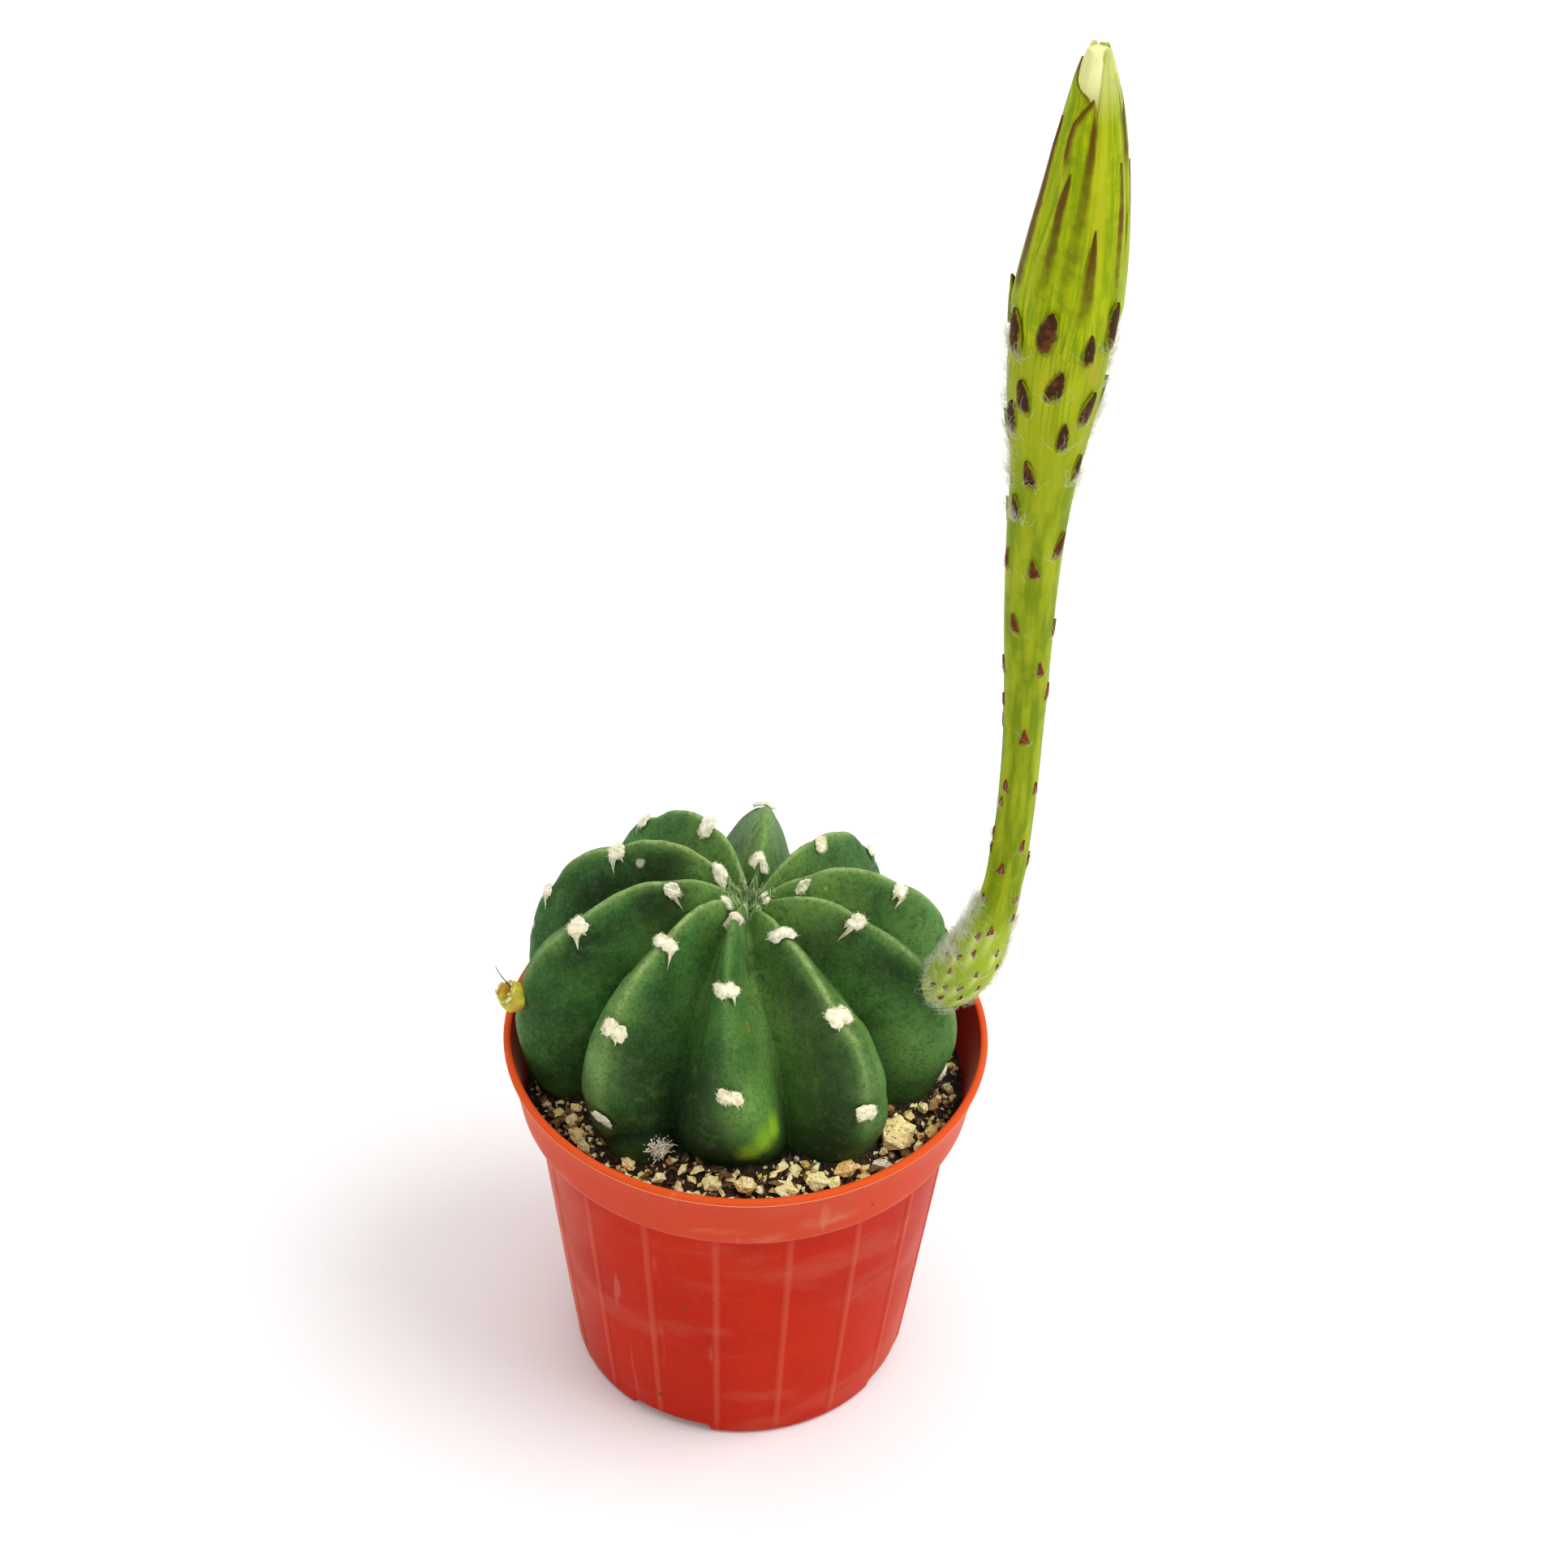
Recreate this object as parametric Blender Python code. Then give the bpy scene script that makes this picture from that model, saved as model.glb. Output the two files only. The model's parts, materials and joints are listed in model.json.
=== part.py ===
"""Potted domino cactus with one tall closed flower bud.

Metres, +Z up. The origin is the centre of the pot's underside. The photograph's viewer stands at -Y.
"""

import math
import random

import bmesh
import bpy
import numpy as np
from mathutils import Matrix, Vector

MM = 0.001
SEED = 7
SEAT_GAP = 0.32 * MM

# Pot, a round 8.5 cm nursery pot of thin moulded plastic
POT_HEIGHT = 72.4 * MM
POT_RIM_R = 42.5 * MM
POT_BASE_R = 30.4 * MM
POT_WALL_TOP_R = 37.1 * MM
SHOULDER_R = 40.0 * MM
SHOULDER_Z = 60.3 * MM
WALL = 1.0 * MM
FLOOR = 1.4 * MM
LIP_WIDTH = 1.7 * MM
SEAM_COUNT = 18
SEAM_FIRST_DEG = -96.0
SEAM_HALF_DEG = 0.9
SEAM_RISE = 0.3 * MM
DRAIN_COUNT = 4
DRAIN_FIRST_DEG = -113.0
DRAIN_HALF_DEG = 14.5
DRAIN_HEIGHT = 2.0 * MM
DRAIN_INNER_R = 10.0 * MM
DRAIN_ROOF = 1.3 * MM
DRAIN_HOLE_R = 2.6 * MM
DRAIN_HOLE_AT_R = 19.0 * MM

# Soil
SOIL_EDGE_Z = 60.6 * MM
SOIL_HEAP = 6.6 * MM
SOIL_HEAP_FROM_R = 39.0 * MM
SOIL_HEAP_TO_R = 31.0 * MM
SOIL_COLUMNS = 48
GRIT_TRIES = 900
GRIT_WANTED = 46
GRIT_SMALLEST = 1.0 * MM
GRIT_LARGEST = 1.9 * MM

# Cactus body: one meridian along a rib's crest and one along a groove, in mm, from the crown down
CREST_MM = [(0, 97.7), (3.6, 100.8), (8.5, 103.6), (14, 104.6), (20, 103.4), (26.1, 100), (31.4, 95.7),
            (35.3, 90.8), (37.6, 85.5), (38.4, 80), (37.9, 74.8), (36.2, 70), (34.2, 65), (30.5, 60)]
GROOVE_MM = [(0, 97.1), (2.8, 97.7), (6.3, 97.7), (10.3, 96.9), (14.3, 95), (18.4, 92), (22.2, 88.3),
             (25.3, 84.1), (27.7, 79.4), (29.2, 74.6), (29.8, 69.9), (29.4, 65.5), (28.3, 62), (26, 58.5)]
BURIED_CREST_MM = [(23, 55.2), (12, 53)]
BURIED_GROOVE_MM = [(20.5, 54.9), (11, 53)]
BODY_FOOT_Z = 52.4 * MM
BODY_CENTRE = Vector((-2.15 * MM, 4.5 * MM, 66.0 * MM))
BODY_LEAN_X_DEG = 4.0
BODY_LEAN_Y_DEG = 1.0
BODY_ROWS = 18
COLUMNS_PER_RIB = 6

# One row for each rib: azimuth at crown, shoulder and foot in degrees, reach (1 is the meridian above),
# lift of the crest in mm, tuck at the foot, and where its woolly areoles sit along the crest in mm
RIBS = [
    (-108.0, -94.5, -87.0, 0.995, 0.6, 0.08, (14.2, 28.8, 47.2)),
    (-69.0, -55.0, -54.0, 1.02, -1.2, -0.02, (14.8, 32.9, 51.7)),
    (-24.0, -18.0, -14.5, 1.02, 0.5, -0.02, (5.0, 23.3, 62.0)),
    (14.5, 16.5, 15.0, 1.0, 0.1, -0.03, (10.2, 31.4, 49.0)),
    (50.0, 53.0, 56.5, 0.975, -1.4, 0.0, (18.9, 36.5, 54.0)),
    (81.0, 86.5, 86.0, 0.97, -1.2, 0.06, (8.0, 26.0, 44.0)),
    (115.5, 125.5, 126.0, 0.96, -0.3, 0.06, (17.2, 34.0, 51.0)),
    (157.5, 160.5, 168.5, 1.0, 1.2, -0.04, (7.4, 28.8, 48.0)),
    (188.0, 195.0, 196.5, 1.04, 0.3, -0.06, (16.3, 35.6)),
    (224.0, 228.5, 233.0, 0.97, -0.1, -0.03, (7.2, 24.0, 41.4, 60.0)),
]
GROOVE_SHARE = {0: 0.42, 9: 0.6}
FLOWER_RIB = 2
FLOWER_AT_MM = 41.3
STUB_RIB = 8
STUB_AT_MM = 53.8
AREOLE_WIDTH = 4.9 * MM
AREOLE_LENGTH = 3.2 * MM
AREOLE_RISE = 1.1 * MM

# Flower: its axis in an upright plane, as (out, up) in mm from the areole that bears it
FLOWER_PLANE_DEG = -16.0
FLOWER_AXIS_MM = [(-2.6, -1.6), (2.7, 2.4), (6.0, 9.0), (8.2, 16.9), (9.5, 24), (10.5, 36), (10.9, 50),
                  (10.8, 66), (10.3, 82), (10.3, 98), (10.9, 112), (11.2, 126), (11.9, 138), (12.7, 149),
                  (13.3, 160), (13.5, 171), (13.4, 181)]
TUBE_END_UP_MM = 139.0
TUBE_SIDES = 16
TUBE_ROWS = 34
# (height up in mm, diameter in mm)
TUBE_DIAMETER_MM = [(-2, 8.6), (3, 9.6), (9, 9.4), (17, 7.3), (26, 6.5), (40, 6.2), (58, 6.5), (75, 7.6),
                    (91, 8.8), (106, 10.2), (112, 11.4), (121, 14.2), (127, 15.4), (133, 16.2), (139, 16.6)]
BUD_DIAMETER_MM = [(131, 11.0), (136, 13.6), (144, 14.6), (153.5, 13.2), (164, 10.6), (171, 8.4),
                   (176.5, 5.6), (181, 2.8)]
GOLDEN_DEG = 137.5

# The larger pumice stones: azimuth in degrees, distance out and height of the middle, and size, in mm
STONES_MM = [
    (-36.5, 33.2, 67.2, (6.6, 5.6, 7.0)),
    (-46.0, 34.8, 64.8, (4.6, 3.2, 2.6)),
    (-66.8, 33.4, 66.3, (4.6, 4.0, 4.2)),
    (-76.5, 33.8, 66.1, (4.6, 3.8, 3.6)),
    (-57.0, 33.0, 66.4, (5.4, 3.8, 4.2)),
    (-88.3, 32.6, 66.8, (4.8, 3.4, 3.4)),
    (-98.2, 32.6, 66.6, (4.6, 3.2, 3.2)),
    (-125.0, 33.6, 65.8, (3.2, 2.8, 2.8)),
    (-144.5, 34.8, 64.9, (4.0, 3.2, 3.0)),
    (-26.0, 36.4, 63.9, (3.6, 3.0, 3.2)),
    (34.0, 37.0, 63.2, (4.2, 3.0, 3.0)),
    (148.0, 36.4, 63.7, (3.8, 3.0, 2.8)),
]


def clear_scene():
    for item in list(bpy.data.objects):
        bpy.data.objects.remove(item, do_unlink=True)


def make_material(name, colour, roughness):
    material = bpy.data.materials.new(name)
    material.use_nodes = True
    shader = material.node_tree.nodes["Principled BSDF"]
    shader.inputs["Base Color"].default_value = (*colour, 1.0)
    shader.inputs["Roughness"].default_value = roughness
    shader.inputs["Metallic"].default_value = 0.0
    return material


def add_object(name, bm, material, smooth_deg=40.0):
    """Turns a finished bmesh into a named object with outward faces."""
    bmesh.ops.recalc_face_normals(bm, faces=bm.faces)
    mesh = bpy.data.meshes.new(name)
    bm.to_mesh(mesh)
    bm.free()
    mesh.shade_smooth()
    mesh.set_sharp_from_angle(angle=math.radians(smooth_deg))
    mesh.materials.append(material)
    thing = bpy.data.objects.new(name, mesh)
    bpy.context.scene.collection.objects.link(thing)
    return thing


def combine(target, others, operation, solver="EXACT"):
    """Joins or cuts the target with a list of objects, applies it and removes them."""
    group = bpy.data.collections.new("operands")
    bpy.context.scene.collection.children.link(group)
    for item in others:
        bpy.context.scene.collection.objects.unlink(item)
        group.objects.link(item)
    step = target.modifiers.new("step", "BOOLEAN")
    step.operation = operation
    step.solver = solver
    step.operand_type = "COLLECTION"
    step.collection = group
    graph = bpy.context.evaluated_depsgraph_get()
    mesh = bpy.data.meshes.new_from_object(target.evaluated_get(graph))
    target.modifiers.remove(step)
    target.data = mesh
    for item in others:
        bpy.data.objects.remove(item, do_unlink=True)
    bpy.data.collections.remove(group)
    return target


def keep_largest_piece(thing):
    """Drops loose scraps, so the object is one closed body."""
    bm = bmesh.new()
    bm.from_mesh(thing.data)
    unseen = set(bm.verts)
    pieces = []
    while unseen:
        stack = [unseen.pop()]
        piece = []
        while stack:
            vert = stack.pop()
            piece.append(vert)
            for edge in vert.link_edges:
                other = edge.other_vert(vert)
                if other in unseen:
                    unseen.remove(other)
                    stack.append(other)
        pieces.append(piece)
    pieces.sort(key=len)
    for piece in pieces[:-1]:
        bmesh.ops.delete(bm, geom=piece, context="VERTS")
    bm.to_mesh(thing.data)
    bm.free()


def smooth_through(points, t):
    """Catmull-Rom curve through the points, read at t from 0 to 1."""
    points = np.asarray(points, dtype=float)
    last = len(points) - 1
    x = min(max(t * last, 0.0), last - 1e-9)
    i = int(x)
    f = x - i
    padded = np.vstack([2 * points[0] - points[1], points, 2 * points[-1] - points[-2]])
    a, b, c, d = padded[i:i + 4]
    return 0.5 * (2 * b + (c - a) * f + (2 * a - 5 * b + 4 * c - d) * f**2 + (3 * b - a - 3 * c + d) * f**3)


def revolve(profile, angles):
    """Closed solid turned about Z. The profile starts and ends on the axis."""
    bm = bmesh.new()
    rings = []
    for r, z in profile[1:-1]:
        rings.append([bm.verts.new((r * math.cos(a), r * math.sin(a), z)) for a in angles])
    skin_rings(bm, rings)
    fan(bm, rings[0], bm.verts.new((0, 0, profile[0][1])))
    fan(bm, rings[-1], bm.verts.new((0, 0, profile[-1][1])))
    return bm


def skin_rings(bm, rings):
    for lower, upper in zip(rings, rings[1:]):
        count = len(lower)
        for k in range(count):
            n = (k + 1) % count
            bm.faces.new((lower[k], lower[n], upper[n], upper[k]))


def fan(bm, ring, centre):
    count = len(ring)
    for k in range(count):
        bm.faces.new((ring[k], ring[(k + 1) % count], centre))


def even_angles(count):
    return [2 * math.pi * k / count for k in range(count)]


# Pot

def pot_inner_profile(gap=0.0):
    """Inner wall from the floor's edge up to the lip, drawn in by a gap."""
    return [
        (POT_BASE_R - WALL - 0.9 * MM - gap, FLOOR + gap),
        (POT_BASE_R - WALL - 0.1 * MM - gap, FLOOR + 0.9 * MM + gap),
        (POT_WALL_TOP_R - WALL - gap, 57.6 * MM + gap),
        (POT_WALL_TOP_R - 0.5 * MM - gap, 59.2 * MM + gap),
        (SHOULDER_R - 1.4 * MM - gap, 60.6 * MM + gap),
        (SHOULDER_R - 0.9 * MM - gap, 61.4 * MM + gap),
    ]


def wedge_bmesh(azimuth, half_deg, inner_r, outer_r, low, high):
    """Part of a flat ring, used for the drainage channels."""
    bm = bmesh.new()
    steps = 6
    outline = []
    for k in range(steps + 1):
        a = math.radians(azimuth - half_deg + 2 * half_deg * k / steps)
        outline.append((outer_r * math.cos(a), outer_r * math.sin(a)))
    for k in range(steps, -1, -1):
        a = math.radians(azimuth - half_deg + 2 * half_deg * k / steps)
        outline.append((inner_r * math.cos(a), inner_r * math.sin(a)))
    bottom = [bm.verts.new((x, y, low)) for x, y in outline]
    top = [bm.verts.new((x, y, high)) for x, y in outline]
    skin_rings(bm, [bottom, top])
    bm.faces.new(bottom)
    bm.faces.new(top)
    return bm


def drain_azimuths():
    return [DRAIN_FIRST_DEG + 360.0 * k / DRAIN_COUNT for k in range(DRAIN_COUNT)]


def channel_roof(azimuth, material, gap=0.0):
    """The raised floor over one channel; a gap makes the cutter for the soil."""
    side_deg = DRAIN_HALF_DEG + 3.0 + math.degrees(gap / DRAIN_HOLE_AT_R)
    bm = wedge_bmesh(azimuth, side_deg, DRAIN_INNER_R - DRAIN_ROOF - gap, POT_BASE_R - 0.5 * MM + 3 * gap,
                     0.3 * MM, DRAIN_HEIGHT + DRAIN_ROOF + gap)
    return add_object("channel_roof", bm, material)


def build_pot(material):
    sector = 360.0 / SEAM_COUNT
    columns = []
    for k in range(SEAM_COUNT):
        seam = SEAM_FIRST_DEG + sector * k
        columns += [(seam - SEAM_HALF_DEG, 0.0), (seam, 1.0), (seam + SEAM_HALF_DEG, 0.0), (seam + sector / 2, 0.0)]
    outer = [
        (POT_BASE_R - 0.9 * MM, 0.0, 0.0),
        (POT_BASE_R, 0.9 * MM, 0.3),
        (POT_WALL_TOP_R, 57.4 * MM, 1.0),
        (SHOULDER_R - 0.5 * MM, 59.4 * MM, 0.0),
        (SHOULDER_R, SHOULDER_Z, 0.0),
        (POT_RIM_R - 0.95 * MM, POT_HEIGHT - 2.3 * MM, 0.0),
        (POT_RIM_R, POT_HEIGHT - 1.1 * MM, 0.0),
        (POT_RIM_R - 0.25 * MM, POT_HEIGHT - 0.3 * MM, 0.0),
        (POT_RIM_R - 0.8 * MM, POT_HEIGHT, 0.0),
        (POT_RIM_R - LIP_WIDTH + 0.2 * MM, POT_HEIGHT - 0.1 * MM, 0.0),
        (POT_RIM_R - LIP_WIDTH - 0.1 * MM, POT_HEIGHT - 0.8 * MM, 0.0),
    ]
    inner = [(r, z, 0.0) for r, z in reversed(pot_inner_profile())]
    bm = bmesh.new()
    rings = []
    for r, z, seam_share in outer + inner:
        ring = []
        for degrees, on_seam in columns:
            a = math.radians(degrees)
            reach = r + SEAM_RISE * seam_share * on_seam
            ring.append(bm.verts.new((reach * math.cos(a), reach * math.sin(a), z)))
        rings.append(ring)
    skin_rings(bm, rings)
    fan(bm, rings[0], bm.verts.new((0, 0, 0)))
    fan(bm, rings[-1], bm.verts.new((0, 0, FLOOR)))
    pot = add_object("pot", bm, material)
    combine(pot, [channel_roof(azimuth, material) for azimuth in drain_azimuths()], "UNION")
    cutters = []
    for azimuth in drain_azimuths():
        bm = wedge_bmesh(azimuth, DRAIN_HALF_DEG, DRAIN_INNER_R, POT_RIM_R, -1.0 * MM, DRAIN_HEIGHT)
        cutters.append(add_object("channel", bm, material))
        a = math.radians(azimuth)
        bm = bmesh.new()
        bmesh.ops.create_cone(bm, cap_ends=True, segments=12, radius1=DRAIN_HOLE_R, radius2=DRAIN_HOLE_R,
                              depth=8 * MM, matrix=Matrix.Translation((DRAIN_HOLE_AT_R * math.cos(a),
                                                                       DRAIN_HOLE_AT_R * math.sin(a),
                                                                       DRAIN_HEIGHT + 3 * MM)))
        cutters.append(add_object("drain_hole", bm, material))
    combine(pot, cutters, "DIFFERENCE")
    return pot


# Cactus body

def along(rib, share):
    """Azimuth, lift and tuck of a rib at a share of the way from crown to foot."""
    azimuth = np.interp(share, [0.12, 0.48, 0.85], rib[:3])
    lift = rib[4] * np.interp(share, [0, 0.22, 0.6, 1], [0, 1, 0.7, 0])
    tuck = rib[5] * np.interp(share, [0.65, 0.75, 0.85, 0.95, 1], [0, 0.15, 0.55, 1, 1])
    return azimuth, lift, tuck


def lean(point_mm):
    """Places a point of the upright body, in mm, into the pot, leaning."""
    point = Vector(point_mm) * MM
    point.z -= BODY_CENTRE.z
    turn = Matrix.Rotation(math.radians(BODY_LEAN_Y_DEG), 3, "X") @ Matrix.Rotation(
        math.radians(BODY_LEAN_X_DEG), 3, "Y")
    return turn @ point + BODY_CENTRE


def rib_section(w, share):
    """Height of the rib's cross-section: 1 on its crest, 0 in the groove. Low down the ribs are plump."""
    crest_round = np.interp(share, [0, 0.3, 0.55, 0.8, 1], [0.25, 0.3, 0.45, 0.6, 0.6])
    groove_round = np.interp(share, [0, 0.3, 0.6, 1], [0.03, 0.06, 0.2, 0.3])
    from_crest = (math.hypot(w, crest_round) - crest_round) / (math.hypot(1, crest_round) - crest_round)
    from_groove = 1 - (math.hypot(1 - w, groove_round) - groove_round) / (math.hypot(1, groove_round) - groove_round)
    sharp = 1 - (from_crest * (1 - w) + from_groove * w)
    full = np.interp(share, [0.3, 0.5, 0.75], [0.0, 0.7, 1.0])
    return sharp * (1 - full) + (1 - min(max(w, 0.0), 1.0)**2.2) * full


def body_point(gap_index, v, share):
    """A point of the skin: v runs from one rib's crest (0) through the groove (0.5) to the next crest (1)."""
    rib_a = RIBS[gap_index]
    rib_b = RIBS[(gap_index + 1) % len(RIBS)]
    azimuth_a, lift_a, tuck_a = along(rib_a, share)
    azimuth_b, lift_b, tuck_b = along(rib_b, share)
    if gap_index == len(RIBS) - 1:
        azimuth_b += 360.0
    groove_at = 0.5 + (GROOVE_SHARE.get(gap_index, 0.5) - 0.5) * np.interp(share, [0.1, 0.35, 0.7], [1, 1, 0])
    if v < 0.5:
        f, w, reach, lift, tuck = groove_at * 2 * v, 2 * v, rib_a[3], lift_a, tuck_a
    else:
        f, w, reach, lift, tuck = 1 - (1 - groove_at) * 2 * (1 - v), 2 * (1 - v), rib_b[3], lift_b, tuck_b
    crest_r, crest_z = smooth_through(CREST_MM, share)
    groove_r, groove_z = smooth_through(GROOVE_MM, share)
    height = rib_section(w, share)
    r = groove_r + (crest_r * reach * (1 - tuck) - groove_r) * height
    z = groove_z + (crest_z + lift - groove_z) * height
    a = math.radians(azimuth_a + (azimuth_b - azimuth_a) * f)
    return (r * math.cos(a), r * math.sin(a), z)


def body_bmesh(swell=0.0):
    """The ribbed body, swollen along its normals to make a cutter with a gap."""
    bm = bmesh.new()
    columns = [(k, c / COLUMNS_PER_RIB) for k in range(len(RIBS)) for c in range(COLUMNS_PER_RIB)]
    rings = []
    for row in range(1, BODY_ROWS + 1):
        share = row / BODY_ROWS
        rings.append([bm.verts.new(lean(body_point(k, v, share))) for k, v in columns])
    for crest, groove in zip(BURIED_CREST_MM, BURIED_GROOVE_MM):
        ring = []
        for k, v in columns:
            x, y, _ = body_point(k, v, 1.0)
            a = math.atan2(y, x)
            height = rib_section(min(2 * v, 2 - 2 * v), 1.0)
            r = groove[0] + (crest[0] - groove[0]) * height
            ring.append(bm.verts.new(lean((r * math.cos(a), r * math.sin(a), crest[1]))))
        rings.append(ring)
    skin_rings(bm, rings)
    fan(bm, rings[0], bm.verts.new(lean((0, 0, CREST_MM[0][1]))))
    fan(bm, rings[-1], bm.verts.new(lean((0, 0, BODY_FOOT_Z / MM))))
    bmesh.ops.recalc_face_normals(bm, faces=bm.faces)
    bmesh.ops.triangulate(bm, faces=bm.faces)
    if swell:
        bm.normal_update()
        moved = [vert.co + vert.normal * swell for vert in bm.verts]
        for vert, place in zip(bm.verts, moved):
            vert.co = place
    return bm


def crest_frame(rib_index, distance_mm):
    """Point, outward normal and downhill direction on a rib's crest, a distance from the crown."""
    samples = 240
    points = []
    for k in range(samples + 1):
        share = k / samples
        points.append(lean(body_point(rib_index, 0.0, share)))
    walked = 0.0
    for k in range(samples):
        step = (points[k + 1] - points[k]).length
        if walked + step >= distance_mm * MM:
            break
        walked += step
    down = (points[k + 1] - points[k]).normalized()
    side = Vector((0, 0, 1)).cross(points[k] - lean((0, 0, 80.0)))
    side = (side - down * side.dot(down)).normalized()
    normal = side.cross(down).normalized()
    if normal.dot(points[k] - lean((0, 0, 80.0))) < 0:
        normal.negate()
    return points[k], normal, down


def areole(rib_index, distance_mm, material, size=1.0, swell=0.0):
    """A low woolly cushion, wider than it is long, sunk into the crest; swell makes a cutter with a gap."""
    place, normal, down = crest_frame(rib_index, distance_mm)
    side = normal.cross(down)
    bm = bmesh.new()
    bmesh.ops.create_uvsphere(bm, u_segments=6, v_segments=4, radius=1.0)
    for vert in bm.verts:
        x, y, z = vert.co
        droop = 0.35 * max(0.0, y)
        vert.co = (place + side * (x * (size * AREOLE_WIDTH / 2 + swell))
                   + down * ((y + droop) * (size * AREOLE_LENGTH / 2 + swell))
                   + normal * ((z - 0.25 - 0.3 * x * x) * (size * AREOLE_RISE * 1.25 + swell)))
    return add_object("areole", bm, material)


def build_body(material):
    body = add_object("cactus_body", body_bmesh(), material)
    pads = []
    for index, rib in enumerate(RIBS):
        for distance in rib[6]:
            size = 0.55 if distance < 6 else 0.85 if distance < 12 else 1.0
            pads.append(areole(index, distance, material, size))
    combine(body, pads, "UNION")
    keep_largest_piece(body)
    return body


# Flower

def flower_frame():
    place, _, _ = crest_frame(FLOWER_RIB, FLOWER_AT_MM)
    a = math.radians(FLOWER_PLANE_DEG)
    return place, Vector((math.cos(a), math.sin(a), 0.0))


def flower_axis(up_mm):
    """Point and direction of the flower's axis at a height above its areole."""
    place, out = flower_frame()
    low, high = 0.0, 1.0
    for _ in range(30):
        middle = (low + high) / 2
        if smooth_through(FLOWER_AXIS_MM, middle)[1] < up_mm:
            low = middle
        else:
            high = middle
    step = 0.004
    before = smooth_through(FLOWER_AXIS_MM, max(low - step, 0.0))
    after = smooth_through(FLOWER_AXIS_MM, min(low + step, 1.0))
    here = smooth_through(FLOWER_AXIS_MM, low)
    heading = (out * (after[0] - before[0]) + Vector((0, 0, after[1] - before[1]))).normalized()
    return place + out * (here[0] * MM) + Vector((0, 0, here[1] * MM)), heading


def axis_sides(heading):
    """Two directions across the axis: towards the viewer's left and outwards."""
    _, out = flower_frame()
    left = Vector((0, 0, 1)).cross(out).normalized()
    return left, heading.cross(left).normalized()


def radius_at(table, up_mm):
    heights = [row[0] for row in table]
    return np.interp(up_mm, heights, [row[1] for row in table]) / 2 * MM


def axis_point(up_mm, angle, radius):
    centre, heading = flower_axis(up_mm)
    left, front = axis_sides(heading)
    return centre + (left * math.cos(angle) + front * math.sin(angle)) * radius


def lofted(table, heights, sides, end_low, end_high):
    bm = bmesh.new()
    rings = []
    for up_mm in heights:
        radius = radius_at(table, up_mm)
        rings.append([bm.verts.new(axis_point(up_mm, a, radius)) for a in even_angles(sides)])
    skin_rings(bm, rings)
    fan(bm, rings[0], bm.verts.new(flower_axis(end_low)[0]))
    fan(bm, rings[-1], bm.verts.new(flower_axis(end_high)[0]))
    return bm


def scale_bmesh(up_mm, angle, length, width, thick):
    """One pointed scale, its foot sunk in the tube and its tip free and leaning out a little."""
    bm = bmesh.new()
    radius = radius_at(TUBE_DIAMETER_MM, up_mm)
    half = width / 2 / radius
    middle_mm = up_mm + 0.4 * length / MM
    tip_mm = min(up_mm + length / MM, TUBE_END_UP_MM + 3.5)
    middle_r = radius_at(TUBE_DIAMETER_MM, min(middle_mm, TUBE_END_UP_MM))
    tip_r = radius_at(TUBE_DIAMETER_MM, min(tip_mm, TUBE_END_UP_MM))
    sunk = 0.8 * MM
    foot = [axis_point(up_mm, angle + half * s, radius - 0.25 * MM) for s in (-0.5, 0.5)]
    shoulder = [axis_point(middle_mm, angle + half * s, middle_r + 0.15 * MM) for s in (1, -1)]
    keel = axis_point(middle_mm, angle, middle_r + thick)
    tip = axis_point(tip_mm, angle, tip_r + thick * 1.3)
    root = [axis_point(up_mm + 0.2, angle + half * s, radius - sunk) for s in (-0.8, 0.8)]
    root_top = axis_point(middle_mm + 0.2 * length / MM, angle, middle_r - sunk)
    points = foot + shoulder + [keel, tip] + root + [root_top]
    for point in points:
        bm.verts.new(point)
    bmesh.ops.convex_hull(bm, input=list(bm.verts))
    return bm


def scale_table():
    """Height, angle, length and width of each scale: crowded on the ovary and on the funnel, sparse between."""
    rows = []
    up_mm = 0.8
    while up_mm < 133.5:
        length = np.interp(up_mm, [0, 20, 60, 90, 112, 132], [1.6, 1.9, 2.6, 3.4, 5.0, 6.4])
        width = np.interp(up_mm, [0, 20, 60, 90, 112, 132], [1.5, 1.4, 1.5, 1.9, 2.6, 3.0])
        rows.append((up_mm, math.radians(GOLDEN_DEG * len(rows) + 40), length * MM, width * MM))
        up_mm += np.interp(up_mm, [0, 18, 30, 90, 108, 135], [0.8, 1.2, 3.2, 3.0, 1.8, 1.3])
    return rows


def bud_seat_bmesh():
    """Room for the bud: its core below the tube's end, its core and tepals above."""
    bm = bmesh.new()
    rings = []
    for up_mm, extra in ((130.6, 0.1), (133, 0.1), (136, 0.1), (138.5, 0.1), (138.7, 1.2), (143, 1.2), (148, 1.2)):
        radius = radius_at(BUD_DIAMETER_MM, up_mm) + SEAT_GAP + extra * MM
        rings.append([bm.verts.new(axis_point(up_mm, a, radius)) for a in even_angles(TUBE_SIDES)])
    skin_rings(bm, rings)
    fan(bm, rings[0], bm.verts.new(flower_axis(130.5)[0]))
    fan(bm, rings[-1], bm.verts.new(flower_axis(148.3)[0]))
    return bm


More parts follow.
